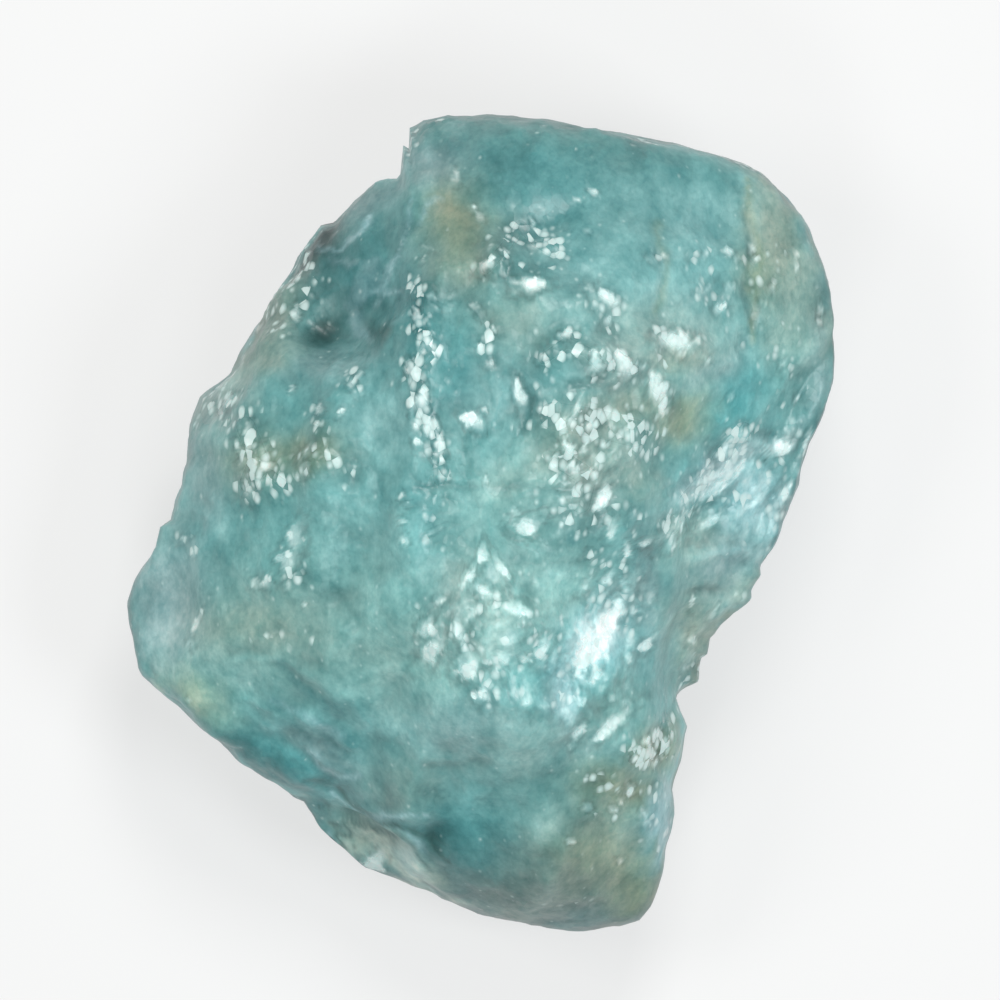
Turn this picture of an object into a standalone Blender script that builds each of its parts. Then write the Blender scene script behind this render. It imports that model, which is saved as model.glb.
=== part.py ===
"""A rough aquamarine: one broken, water-worn piece of translucent beryl, lying on its flat back.

The stone is a closed surface around a middle axis. Every direction from the middle is carried to
the outline seen from above, and lifted to a front or a back face. Fracture planes give the main
faces, polylines give the ledges and crests that the breaks left, and smooth noise gives the lumps.
The frame is +Z up, with the origin under the middle of the stone on the surface it rests on,
+Y along its longest side. Sizes are in millimetres until the mesh is made.
"""

import math

import bmesh
import bpy
import numpy as np

MM = 0.001  # metres in a millimetre

# Driving dimensions. The outline gives the width of 21.4 mm and the length of 24.6 mm.
CROWN_HEIGHT = 13.2  # highest front face over the surface
GIRDLE_HEIGHT = 5.0  # mean height of the widest line round the stone
BASE_SINK = 1.0  # how far the back would bulge below the surface if it weren't broken off flat

# The outline from above, from the top left corner, anticlockwise, in millimetres.
OUTLINE = [
    (-2.3, 11.5), (-2.1, 10.8), (-2.4, 10.3), (-3.1, 10.3), (-3.8, 9.8), (-4.4, 9.1), (-4.8, 9.0),
    (-5.1, 8.6), (-5.7, 7.6), (-6.1, 7.0), (-6.5, 6.4), (-6.9, 5.7), (-7.3, 5.1), (-7.5, 4.5),
    (-7.8, 4.3), (-8.4, 3.8), (-8.8, 3.0), (-8.9, 2.0), (-9.0, 1.1), (-9.3, 0.1), (-9.6, -0.1),
    (-9.7, -0.7), (-10.4, -1.7), (-10.7, -2.4), (-10.6, -3.2), (-10.3, -4.4), (-9.8, -5.0),
    (-9.1, -5.5), (-8.4, -6.2), (-7.8, -6.6), (-7.3, -7.1), (-6.6, -7.6), (-6.1, -8.0),
    (-5.3, -8.4), (-5.0, -9.0), (-4.8, -9.3), (-4.2, -9.8), (-3.4, -10.5), (-3.1, -10.6),
    (-2.2, -10.9), (-1.5, -11.2), (-0.5, -11.6), (0.6, -12.0), (1.9, -12.2), (3.1, -12.3),
    (4.2, -12.2), (4.8, -12.0), (5.2, -11.5), (5.5, -10.7), (5.6, -9.8), (5.9, -8.8), (5.8, -8.0),
    (6.0, -7.3), (6.2, -6.4), (6.3, -6.1), (6.1, -5.8), (6.0, -5.3), (6.3, -5.0), (6.6, -4.8),
    (6.7, -4.1), (6.9, -4.0), (7.0, -3.5), (7.3, -3.2), (7.7, -2.7), (8.2, -2.3), (8.2, -2.0),
    (8.5, -1.6), (8.5, -1.3), (8.9, -0.7), (9.2, 0.1), (9.7, 1.6), (10.0, 2.5), (10.5, 3.5),
    (10.7, 4.4), (10.7, 5.3), (10.6, 7.0), (10.2, 8.2), (9.7, 9.2), (9.1, 10.0), (8.5, 10.6),
    (8.1, 10.8), (6.6, 11.2), (5.1, 11.6), (3.3, 11.9), (1.5, 12.2), (-0.4, 12.3), (-1.7, 12.2),
    (-2.2, 11.9),
]
SOFTENED_SPREAD = math.radians(14)  # the outline away from the girdle is averaged this far each way
SOFTENED_TAPS = 9
NOTCH_HEIGHT = 0.35  # share of the way up or down at which the outline's small notches have gone

# How the girdle rises and falls round the stone: (waves in a turn, height, bearing of a high point).
GIRDLE_WAVES = [(1, 0.9, 65), (2, 0.7, 15), (3, 0.35, 100), (5, 0.22, 20), (8, 0.14, 31)]
LEAST_SIDE = 0.9  # the front and the back stay at least this far above and below the girdle

# How sharp the edge is at each bearing in degrees: 0.5 is blunt and rounded, 1.3 is a thin wedge.
EDGE_SHARPNESS = [
    (0, 0.6), (45, 0.5), (95, 0.5), (115, 0.8), (150, 0.65), (180, 0.55), (200, 0.7), (222, 0.55),
    (243, 1.15), (256, 0.65), (280, 0.5), (305, 0.65), (322, 1.0), (340, 0.8), (360, 0.6),
]

# Front fracture faces: a point (x, y) on the face, its height there, and its slope along x and y.
FRONT_FACES = [
    (2.0, 1.5, CROWN_HEIGHT, -0.05, 0.04),  # crown
    (4.6, 8.4, 12.0, -0.16, -0.34),  # waxy top right shoulder
    (8.0, 5.2, 10.9, -0.62, -0.05),  # right flank
    (6.6, -0.8, 10.6, -0.55, 0.30),  # bright plate low on the right
    (-4.2, 0.8, 11.7, 0.30, 0.02),  # long left slope
    (-4.6, 7.0, 10.5, 0.46, -0.36),  # top left shoulder
    (-5.0, -5.8, 10.1, 0.34, 0.50),  # lower left slope
    (2.2, -8.2, 11.0, -0.10, 0.42),  # foot
    (5.2, -7.0, 9.8, -0.80, 0.16),  # thin lower right rim
    (-8.6, -2.6, 8.8, 0.55, 0.08),  # left lobe
]
FRONT_BLEND = 0.32  # how wide the worn crease between two faces is

# Back fracture faces: bearing that each faces in degrees, where it leaves the base, and its rise.
BACK_FACES = [
    (20, 6.6, 1.05), (68, 7.6, 0.80), (112, 6.4, 1.15), (158, 6.0, 0.85),
    (204, 7.2, 1.30), (243, 5.0, 0.75), (286, 8.2, 0.80), (328, 4.6, 0.80),
]
BACK_BLEND = 0.25

# Ledges: the surface steps down on the left of the path, then comes back up over the reach.
# Each is (path, drop, width of the step, reach).
LEDGES = [
    ([(-4.0, 3.4), (-3.0, 4.8), (-2.3, 6.3), (-1.9, 8.0), (-2.1, 9.6), (-2.3, 13.8)], 1.3, 1.0, 6.0),
    ([(-0.4, -14.0), (-1.1, -11.0), (-2.0, -9.9), (-3.0, -9.1), (-4.4, -8.6), (-8.0, -8.0)], 2.2, 0.9, 9.0),
    ([(10.4, 6.0), (8.4, 3.4), (7.4, 2.0), (6.2, 1.0), (5.6, -0.6), (5.2, -3.4), (5.0, -7.4)], 0.9, 0.9, 4.5),
    ([(-7.6, -9.0), (-8.3, -6.6), (-8.5, -5.0), (-8.2, -3.0), (-8.5, -1.0), (-9.0, 2.6)], 0.8, 1.1, 4.0),
    ([(-0.8, 9.0), (1.6, 8.2), (3.2, 8.9), (5.0, 8.4), (8.6, 8.0)], 0.4, 0.8, 3.5),
]
LEDGE_TAPER = 1.6  # each ledge dies away over this length at both ends

# Crests left standing between breaks: (path, height, half width).
CRESTS = [
    ([(-1.5, 7.4), (-1.9, 5.4), (-1.9, 3.2), (-2.2, 1.0), (-2.0, -1.4)], 0.45, 0.70),
    ([(-4.2, 4.6), (-4.8, 2.4), (-4.6, 0.0), (-5.3, -1.8)], 0.32, 0.60),
    ([(-7.2, 3.2), (-6.7, 1.4), (-5.0, 1.6)], 0.30, 0.55),
    ([(-7.2, -4.0), (-5.0, -4.7), (-2.9, -6.6), (-1.6, -9.2)], 0.45, 0.95),
    ([(0.4, 8.0), (1.6, 7.3), (2.2, 6.6), (4.4, 7.0)], 0.38, 0.60),
    ([(2.4, 5.2), (4.2, 4.8), (5.4, 5.6), (6.6, 5.2)], 0.45, 0.75),
    ([(2.6, 3.0), (3.6, 1.8), (4.8, 2.6), (5.8, 3.8)], 0.40, 0.80),
    ([(-1.4, -3.0), (0.4, -3.2), (2.2, -3.0), (3.8, -4.2)], 0.50, 0.90),
    ([(4.6, -7.2), (3.4, -8.4), (3.0, -10.0)], 0.35, 0.70),
]

# Single lumps and, below zero, pits: (x, y, radius along, radius across, turn in degrees, height).
LUMPS = [
    (6.7, -4.6, 0.7, 0.5, 60, 0.50), (6.0, -6.4, 0.8, 0.5, 80, 0.45), (7.9, -2.3, 0.8, 0.5, 50, 0.40),
    (5.2, -9.4, 1.1, 0.7, 85, 0.40), (-6.2, 4.6, 1.5, 0.8, 60, 0.45), (-3.4, 8.4, 1.2, 0.8, 50, 0.40),
    (0.6, 3.6, 1.3, 1.0, 10, -0.40), (-4.2, 5.9, 1.2, 0.9, 20, -0.60), (1.6, 0.2, 1.0, 0.8, 30, -0.30),
    (-3.6, -1.6, 1.6, 1.1, 70, -0.25), (-1.4, -9.4, 1.0, 0.7, 60, -0.50), (4.2, 0.4, 1.2, 0.8, 40, 0.35),
    (8.8, 6.2, 1.3, 0.8, 85, 0.30), (0.2, -5.6, 1.5, 1.0, 15, 0.25), (-6.6, -1.6, 1.3, 0.9, 80, 0.28),
    (2.4, -10.6, 1.6, 1.0, 5, 0.35), (7.2, 9.0, 1.5, 1.0, 130, -0.30), (-7.6, -5.4, 1.1, 0.8, 150, -0.30),
]

# Smooth noise all over: (size of a lump, height, first number of its random lattice).
NOISE_LAYERS = [(4.6, 0.42, 3), (2.2, 0.24, 11), (1.1, 0.11, 23)]
RIM_CALM = 0.35  # share of the way from the girdle over which the noise grows, so the outline holds

BALL_CELLS = 110  # squares along each edge of the cube that is blown up into a ball
KEPT_SHARE = 0.065  # of its triangles, where the stone is flattest going first

AQUAMARINE = (0.13, 0.40, 0.40, 1.0)
ROUGHNESS, TRANSMISSION, BERYL_IOR = 0.25, 0.5, 1.575


def lattice(cells, seed):
    """A fixed random number from -1 to 1 for each whole-number cell, from mixed integer bits."""
    x, y, z = (cells[..., axis].astype(np.int64) for axis in range(3))
    mixed = (x * 73856093) ^ (y * 19349663) ^ (z * 83492791) ^ (seed * 2654435761)
    mixed = ((mixed ^ (mixed >> 13)) * 1274126177) & 0xFFFFFFFF
    mixed = ((mixed ^ (mixed >> 16)) * 668265263) & 0xFFFFFFFF
    return mixed / 0x7FFFFFFF - 1.0


def smooth_noise(points, size, seed):
    """Random numbers on a cubic lattice of the given size, blended by an S-curve along each axis."""
    scaled = points / size
    cells = np.floor(scaled)
    part = scaled - cells
    blend = part * part * (3 - 2 * part)
    total = 0.0
    for corner in np.ndindex(2, 2, 2):
        share = np.prod(np.where(corner, blend, 1 - blend), axis=-1)
        total = total + share * lattice(cells + np.array(corner), seed)
    return total


def smoothstep(value, low, high):
    """0 at low and 1 at high, with an S-curve between them."""
    share = np.clip((value - low) / (high - low), 0, 1)
    return share * share * (3 - 2 * share)


def outline_radius(bearing):
    """Distance from the middle to the outline at each bearing, in straight runs between its points."""
    x, y = np.array(OUTLINE).T
    return np.interp(bearing, np.arctan2(y, x), np.hypot(x, y), period=2 * math.pi)


def softened_radius(bearing):
    """The outline's radius averaged over nearby bearings, without its small notches."""
    offsets = np.linspace(-SOFTENED_SPREAD, SOFTENED_SPREAD, SOFTENED_TAPS)
    return np.mean([outline_radius(bearing + offset) for offset in offsets], axis=0)


def girdle_height(bearing):
    """Height of the widest line: its mean and a few slow waves round the stone."""
    height = np.full_like(bearing, GIRDLE_HEIGHT)
    for waves, rise, high_bearing in GIRDLE_WAVES:
        height += rise * np.cos(waves * (bearing - math.radians(high_bearing)))
    return height


def path_places(x, y, path):
    """Each point's place by a polyline: its distance to the left, and the length to the nearer end.

    The distance is below zero on the right. At a corner of the polyline two of its runs are equally
    near, and the one whose line passes farther off gives the side.
    """
    nearest = np.full(x.shape, np.inf)
    signed, walked = np.zeros(x.shape), np.zeros(x.shape)
    length = 0.0
    for (ax, ay), (bx, by) in zip(path, path[1:]):
        run = math.hypot(bx - ax, by - ay)
        ux, uy = (bx - ax) / run, (by - ay) / run
        along = np.clip((x - ax) * ux + (y - ay) * uy, 0, run)
        distance = np.hypot(x - ax - along * ux, y - ay - along * uy)
        line_distance = (y - ay) * ux - (x - ax) * uy
        closeness = distance - 1e-4 * np.abs(line_distance)
        closer = closeness < nearest
        signed = np.where(closer, np.sign(line_distance) * distance, signed)
        walked = np.where(closer, length + along, walked)
        nearest = np.minimum(nearest, closeness)
        length += run
    return signed, np.minimum(walked, length - walked)


def blended_lowest(heights, width):
    """The lowest of several surfaces, with the creases between them rounded over the width."""
    lowest = np.min(heights, axis=0)
    return lowest - width * np.log(np.sum(np.exp((lowest - np.array(heights)) / width), axis=0))


def front_height(x, y):
    """The front's height: the lowest of its fracture planes, with ledges, crests and lumps."""
    planes = [
        height + slope_x * (x - face_x) + slope_y * (y - face_y)
        for face_x, face_y, height, slope_x, slope_y in FRONT_FACES
    ]
    height = blended_lowest(planes, FRONT_BLEND)
    for path, drop, width, reach in LEDGES:
        side, from_end = path_places(x, y, path)
        step = smoothstep(side, 0, width) * (1 - smoothstep(side, width, reach))
        height -= drop * step * smoothstep(from_end, 0, LEDGE_TAPER)
    for path, rise, half_width in CRESTS:
        side, _ = path_places(x, y, path)
        height += rise * np.exp(-((side / half_width) ** 2))
    for lump_x, lump_y, along, across, turn, rise in LUMPS:
        cos, sin = math.cos(math.radians(turn)), math.sin(math.radians(turn))
        u = ((x - lump_x) * cos + (y - lump_y) * sin) / along
        v = ((y - lump_y) * cos - (x - lump_x) * sin) / across
        height += rise * np.exp(-(u * u + v * v))
    return height


def back_height(x, y):
    """The back's height: below the surface in the middle, and rising along its fracture planes."""
    planes = [np.full(x.shape, -BASE_SINK)]
    for bearing, start, rise in BACK_FACES:
        turn = math.radians(bearing)
        planes.append(rise * (x * math.cos(turn) + y * math.sin(turn) - start) - BASE_SINK)
    return -blended_lowest([-plane for plane in planes], BACK_BLEND)


def stone_surface(directions):
    """Each unit direction's point on the stone.

    The direction's level part picks the place inside the outline. Its upright part, raised to the
    edge's sharpness, says how far the point is from the girdle to the front or back height.
    """
    dx, dy, dz = directions.T
    bearing = np.arctan2(dy, dx)
    level = np.hypot(dx, dy)
    notched = np.exp(-((dz / NOTCH_HEIGHT) ** 2))
    radius = softened_radius(bearing) * (1 - notched) + outline_radius(bearing) * notched
    x, y = radius * level * np.cos(bearing), radius * level * np.sin(bearing)

    degrees, sharpness = np.array(EDGE_SHARPNESS, float).T
    power = np.interp(np.degrees(bearing), degrees, sharpness, period=360)
    far = np.abs(dz) ** power
    girdle = girdle_height(bearing)
    front = np.maximum(front_height(x, y), girdle + LEAST_SIDE)
    back = np.minimum(back_height(x, y), girdle - LEAST_SIDE)
    target = np.where(dz > 0, front, back)
    points = np.stack([x, y, girdle + (target - girdle) * far], axis=1)

    calm = smoothstep(np.abs(dz), 0, RIM_CALM)
    bumps = sum(h * smooth_noise(points, size, seed) for size, h, seed in NOISE_LAYERS)
    points += directions * (bumps * calm)[:, None]
    points[:, 2] = np.maximum(points[:, 2], 0)
    return points


def clear_scene():
    for thing in list(bpy.data.objects):
        bpy.data.objects.remove(thing)


def aquamarine_material():
    """Translucent blue-green beryl with a waxy, worn surface."""
    material = bpy.data.materials.new("aquamarine")
    material.use_nodes = True
    shader = material.node_tree.nodes["Principled BSDF"]
    shader.inputs["Base Color"].default_value = AQUAMARINE
    shader.inputs["Roughness"].default_value = ROUGHNESS
    shader.inputs["Metallic"].default_value = 0.0
    shader.inputs["IOR"].default_value = BERYL_IOR
    shader.inputs["Transmission Weight"].default_value = TRANSMISSION
    return material


def make_stone():
    """A cube's fine grid, carried onto the stone's surface and thinned out where it is flat."""
    mesh = bpy.data.meshes.new("aquamarine_stone")
    ball = bmesh.new()
    bmesh.ops.create_cube(ball, size=2.0)
    bmesh.ops.subdivide_edges(ball, edges=ball.edges, cuts=BALL_CELLS - 1, use_grid_fill=True)
    bmesh.ops.triangulate(ball, faces=ball.faces)
    ball.to_mesh(mesh)
    ball.free()

    directions = np.empty(len(mesh.vertices) * 3, np.float32)
    mesh.vertices.foreach_get("co", directions)
    directions = directions.reshape(-1, 3).astype(float)
    directions /= np.linalg.norm(directions, axis=1, keepdims=True)
    points = stone_surface(directions) * MM
    mesh.vertices.foreach_set("co", points.astype(np.float32).ravel())
    mesh.materials.append(aquamarine_material())
    mesh.update()

    stone = bpy.data.objects.new("aquamarine_stone", mesh)
    bpy.context.scene.collection.objects.link(stone)
    thin = stone.modifiers.new("thin out flat places", "DECIMATE")
    thin.ratio = KEPT_SHARE
    return stone


clear_scene()
make_stone()
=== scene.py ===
"""A rough aquamarine: one broken, worn piece of cloudy blue-green beryl, lying on its flat back.

The stone is a single piece, made as one surface over two parameters: the ring, counted from the
middle of the front to the middle of the back, and the bearing round it.
"""

import math

import bpy
import numpy as np
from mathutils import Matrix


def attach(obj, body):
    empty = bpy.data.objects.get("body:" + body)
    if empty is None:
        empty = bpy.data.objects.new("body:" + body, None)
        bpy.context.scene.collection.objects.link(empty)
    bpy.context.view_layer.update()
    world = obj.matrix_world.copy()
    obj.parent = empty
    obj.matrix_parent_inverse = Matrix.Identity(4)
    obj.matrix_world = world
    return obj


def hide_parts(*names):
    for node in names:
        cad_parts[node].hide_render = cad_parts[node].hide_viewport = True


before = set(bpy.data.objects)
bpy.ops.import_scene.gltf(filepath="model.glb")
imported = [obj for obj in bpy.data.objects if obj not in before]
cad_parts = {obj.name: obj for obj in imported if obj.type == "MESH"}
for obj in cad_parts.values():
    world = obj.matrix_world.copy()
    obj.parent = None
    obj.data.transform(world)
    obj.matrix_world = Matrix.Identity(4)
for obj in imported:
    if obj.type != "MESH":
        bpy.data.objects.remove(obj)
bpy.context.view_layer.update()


# ---------------------------------------------------------------------------------------------
# The stone's form: a loose piece of beryl, broken on all sides and a little worn. The outline from
# above holds at its widest line, fracture planes make the front and the back faces, and ledges,
# crests and lumps are what the breaks left. Everything in this section is in millimetres.
# ---------------------------------------------------------------------------------------------
CROWN_HEIGHT = 13.2
GIRDLE_HEIGHT = 5.0
BASE_SINK = 1.0

OUTLINE = [
    (-2.3, 11.5), (-2.1, 10.8), (-2.4, 10.3), (-3.1, 10.3), (-3.8, 9.8), (-4.4, 9.1), (-4.8, 9.0),
    (-5.1, 8.6), (-5.7, 7.6), (-6.1, 7.0), (-6.5, 6.4), (-6.9, 5.7), (-7.3, 5.1), (-7.5, 4.5), (-7.8, 4.3),
    (-8.4, 3.8), (-8.8, 3.0), (-8.9, 2.0), (-9.0, 1.1), (-9.3, 0.1), (-9.6, -0.1), (-9.7, -0.7),
    (-10.4, -1.7), (-10.7, -2.4), (-10.6, -3.2), (-10.3, -4.4), (-9.8, -5.0), (-9.1, -5.5), (-8.4, -6.2),
    (-7.8, -6.6), (-7.3, -7.1), (-6.6, -7.6), (-6.1, -8.0), (-5.3, -8.4), (-5.0, -9.0), (-4.8, -9.3),
    (-4.2, -9.8), (-3.4, -10.5), (-3.1, -10.6), (-2.2, -10.9), (-1.5, -11.2), (-0.5, -11.6), (0.6, -12.0),
    (1.9, -12.2), (3.1, -12.3), (4.2, -12.2), (4.8, -12.0), (5.2, -11.5), (5.5, -10.7), (5.6, -9.8),
    (5.9, -8.8), (5.8, -8.0), (6.0, -7.3), (6.2, -6.4), (6.3, -6.1), (6.1, -5.8), (6.0, -5.3), (6.3, -5.0),
    (6.6, -4.8), (6.7, -4.1), (6.9, -4.0), (7.0, -3.5), (7.3, -3.2), (7.7, -2.7), (8.2, -2.3), (8.2, -2.0),
    (8.5, -1.6), (8.5, -1.3), (8.9, -0.7), (9.2, 0.1), (9.7, 1.6), (10.0, 2.5), (10.5, 3.5), (10.7, 4.4),
    (10.7, 5.3), (10.6, 7.0), (10.2, 8.2), (9.7, 9.2), (9.1, 10.0), (8.5, 10.6), (8.1, 10.8), (6.6, 11.2),
    (5.1, 11.6), (3.3, 11.9), (1.5, 12.2), (-0.4, 12.3), (-1.7, 12.2), (-2.2, 11.9),
]
SOFTENED_SPREAD = math.radians(14)
SOFTENED_TAPS = 9
NOTCH_HEIGHT = 0.35

# Waves in a turn, height and bearing of a high point, for the widest line round the stone.
GIRDLE_WAVES = [(1, 0.9, 65), (2, 0.7, 15), (3, 0.35, 100), (5, 0.22, 20), (8, 0.14, 31)]
LEAST_SIDE = 0.9

# Bearing in degrees and sharpness of the edge there: 0.5 is blunt, 1.3 is a thin wedge.
EDGE_SHARPNESS = [
    (0, 0.6), (45, 0.5), (95, 0.5), (115, 0.8), (150, 0.65), (180, 0.55), (200, 0.7), (222, 0.55),
    (243, 1.15), (256, 0.65), (280, 0.5), (305, 0.65), (322, 1.0), (340, 0.8), (360, 0.6),
]

# A point on each front face, its height there, and its slope along x and y.
FRONT_FACES = [
    (2.0, 1.5, CROWN_HEIGHT, -0.05, 0.04),  # crown
    (4.6, 8.4, 12.0, -0.16, -0.34),  # waxy top right shoulder
    (8.0, 5.2, 10.9, -0.62, -0.05),  # right flank
    (6.6, -0.8, 10.6, -0.55, 0.30),  # bright plate low on the right
    (-4.2, 0.8, 11.7, 0.30, 0.02),  # long left slope
    (-4.6, 7.0, 10.5, 0.46, -0.36),  # top left shoulder
    (-5.0, -5.8, 10.1, 0.34, 0.50),  # lower left slope
    (2.2, -8.2, 11.0, -0.10, 0.42),  # foot
    (5.2, -7.0, 9.8, -0.80, 0.16),  # thin lower right rim
    (-8.6, -2.6, 8.8, 0.55, 0.08),  # left lobe
]
FRONT_BLEND = 0.32

# Bearing that each back face looks to, where it leaves the base, and its rise.
BACK_FACES = [
    (20, 6.6, 1.05), (68, 7.6, 0.8), (112, 6.4, 1.15), (158, 6.0, 0.85), (204, 7.2, 1.3), (243, 5.0, 0.75),
    (286, 8.2, 0.8), (328, 4.6, 0.8),
]
BACK_BLEND = 0.25

# Path of each ledge, its drop on the left of the path, the step's width, and the reach after it.
LEDGES = [
    ([(-4.0, 3.4), (-3.0, 4.8), (-2.3, 6.3), (-1.9, 8.0), (-2.1, 9.6), (-2.3, 13.8)], 1.3, 1.0, 6.0),
    ([(-0.4, -14.0), (-1.1, -11.0), (-2.0, -9.9), (-3.0, -9.1), (-4.4, -8.6), (-8.0, -8.0)], 2.2, 0.9, 9.0),
    ([(10.4, 6.0), (8.4, 3.4), (7.4, 2.0), (6.2, 1.0), (5.6, -0.6), (5.2, -3.4), (5.0, -7.4)], 0.9, 0.9, 4.5),
    ([(-7.6, -9.0), (-8.3, -6.6), (-8.5, -5.0), (-8.2, -3.0), (-8.5, -1.0), (-9.0, 2.6)], 0.8, 1.1, 4.0),
    ([(-0.8, 9.0), (1.6, 8.2), (3.2, 8.9), (5.0, 8.4), (8.6, 8.0)], 0.4, 0.8, 3.5),
]
LEDGE_TAPER = 1.6

# Path of each crest left standing between breaks, its height and half width.
CRESTS = [
    ([(-1.5, 7.4), (-1.9, 5.4), (-1.9, 3.2), (-2.2, 1.0), (-2.0, -1.4)], 0.45, 0.70),
    ([(-4.2, 4.6), (-4.8, 2.4), (-4.6, 0.0), (-5.3, -1.8)], 0.32, 0.60),
    ([(-7.2, 3.2), (-6.7, 1.4), (-5.0, 1.6)], 0.30, 0.55),
    ([(-7.2, -4.0), (-5.0, -4.7), (-2.9, -6.6), (-1.6, -9.2)], 0.45, 0.95),
    ([(0.4, 8.0), (1.6, 7.3), (2.2, 6.6), (4.4, 7.0)], 0.38, 0.60),
    ([(2.4, 5.2), (4.2, 4.8), (5.4, 5.6), (6.6, 5.2)], 0.45, 0.75),
    ([(2.6, 3.0), (3.6, 1.8), (4.8, 2.6), (5.8, 3.8)], 0.40, 0.80),
    ([(-1.4, -3.0), (0.4, -3.2), (2.2, -3.0), (3.8, -4.2)], 0.50, 0.90),
    ([(4.6, -7.2), (3.4, -8.4), (3.0, -10.0)], 0.35, 0.70),
]

# Single lumps and, below zero, pits: x, y, radius along, radius across, turn in degrees, height.
LUMPS = [
    (6.7, -4.6, 0.7, 0.5, 60, 0.5), (6.0, -6.4, 0.8, 0.5, 80, 0.45), (7.9, -2.3, 0.8, 0.5, 50, 0.4),
    (5.2, -9.4, 1.1, 0.7, 85, 0.4), (-6.2, 4.6, 1.5, 0.8, 60, 0.45), (-3.4, 8.4, 1.2, 0.8, 50, 0.4),
    (0.6, 3.6, 1.3, 1.0, 10, -0.4), (-4.2, 5.9, 1.2, 0.9, 20, -0.6), (1.6, 0.2, 1.0, 0.8, 30, -0.3),
    (-3.6, -1.6, 1.6, 1.1, 70, -0.25), (-1.4, -9.4, 1.0, 0.7, 60, -0.5), (4.2, 0.4, 1.2, 0.8, 40, 0.35),
    (8.8, 6.2, 1.3, 0.8, 85, 0.3), (0.2, -5.6, 1.5, 1.0, 15, 0.25), (-6.6, -1.6, 1.3, 0.9, 80, 0.28),
    (2.4, -10.6, 1.6, 1.0, 5, 0.35), (7.2, 9.0, 1.5, 1.0, 130, -0.3), (-7.6, -5.4, 1.1, 0.8, 150, -0.3),
]

# Size of a lump, its height, and the first number of its random lattice.
NOISE_LAYERS = [(4.6, 0.42, 3), (2.2, 0.24, 11), (1.1, 0.11, 23)]
RIM_CALM = 0.35


def lattice(cells, seed):
    """A fixed random number from -1 to 1 for each whole-number cell, from mixed integer bits."""
    x, y, z = (cells[..., axis].astype(np.int64) for axis in range(3))
    mixed = (x * 73856093) ^ (y * 19349663) ^ (z * 83492791) ^ (seed * 2654435761)
    mixed = ((mixed ^ (mixed >> 13)) * 1274126177) & 0xFFFFFFFF
    mixed = ((mixed ^ (mixed >> 16)) * 668265263) & 0xFFFFFFFF
    return mixed / 0x7FFFFFFF - 1.0


def smooth_noise(points, size, seed):
    """Random numbers on a cubic lattice of the given size, blended by an S-curve along each axis."""
    scaled = points / size
    cells = np.floor(scaled)
    part = scaled - cells
    blend = part * part * (3 - 2 * part)
    total = 0.0
    for corner in np.ndindex(2, 2, 2):
        share = np.prod(np.where(corner, blend, 1 - blend), axis=-1)
        total = total + share * lattice(cells + np.array(corner), seed)
    return total


def smoothstep(value, low, high):
    """0 at low and 1 at high, with an S-curve between them."""
    share = np.clip((value - low) / (high - low), 0, 1)
    return share * share * (3 - 2 * share)


def outline_radius(bearing):
    """Distance from the middle to the outline at each bearing, in straight runs between its points."""
    x, y = np.array(OUTLINE).T
    return np.interp(bearing, np.arctan2(y, x), np.hypot(x, y), period=2 * math.pi)


def softened_radius(bearing):
    """The outline's radius averaged over nearby bearings, without its small notches."""
    offsets = np.linspace(-SOFTENED_SPREAD, SOFTENED_SPREAD, SOFTENED_TAPS)
    return np.mean([outline_radius(bearing + offset) for offset in offsets], axis=0)


def girdle_height(bearing):
    """Height of the widest line: its mean and a few slow waves round the stone."""
    height = np.full_like(bearing, GIRDLE_HEIGHT)
    for waves, rise, high_bearing in GIRDLE_WAVES:
        height += rise * np.cos(waves * (bearing - math.radians(high_bearing)))
    return height


def path_places(x, y, path):
    """Each point's place by a polyline: its distance to the left, and the length to the nearer end.

    The distance is below zero on the right. At a corner of the polyline two of its runs are equally
    near, and the one whose line passes farther off gives the side.
    """
    nearest = np.full(x.shape, np.inf)
    signed, walked = np.zeros(x.shape), np.zeros(x.shape)
    length = 0.0
    for (ax, ay), (bx, by) in zip(path, path[1:]):
        run = math.hypot(bx - ax, by - ay)
        ux, uy = (bx - ax) / run, (by - ay) / run
        along = np.clip((x - ax) * ux + (y - ay) * uy, 0, run)
        distance = np.hypot(x - ax - along * ux, y - ay - along * uy)
        line_distance = (y - ay) * ux - (x - ax) * uy
        closeness = distance - 1e-4 * np.abs(line_distance)
        closer = closeness < nearest
        signed = np.where(closer, np.sign(line_distance) * distance, signed)
        walked = np.where(closer, length + along, walked)
        nearest = np.minimum(nearest, closeness)
        length += run
    return signed, np.minimum(walked, length - walked)


def blended_lowest(heights, width):
    """The lowest of several surfaces, with the creases between them rounded over the width."""
    lowest = np.min(heights, axis=0)
    return lowest - width * np.log(np.sum(np.exp((lowest - np.array(heights)) / width), axis=0))


def ellipse_places(x, y, centre_x, centre_y, along, across, turn):
    """Each point's distance from a turned ellipse's middle, where 1 is its edge."""
    cos, sin = math.cos(math.radians(turn)), math.sin(math.radians(turn))
    u = ((x - centre_x) * cos + (y - centre_y) * sin) / along
    v = ((y - centre_y) * cos - (x - centre_x) * sin) / across
    return np.hypot(u, v)


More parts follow.
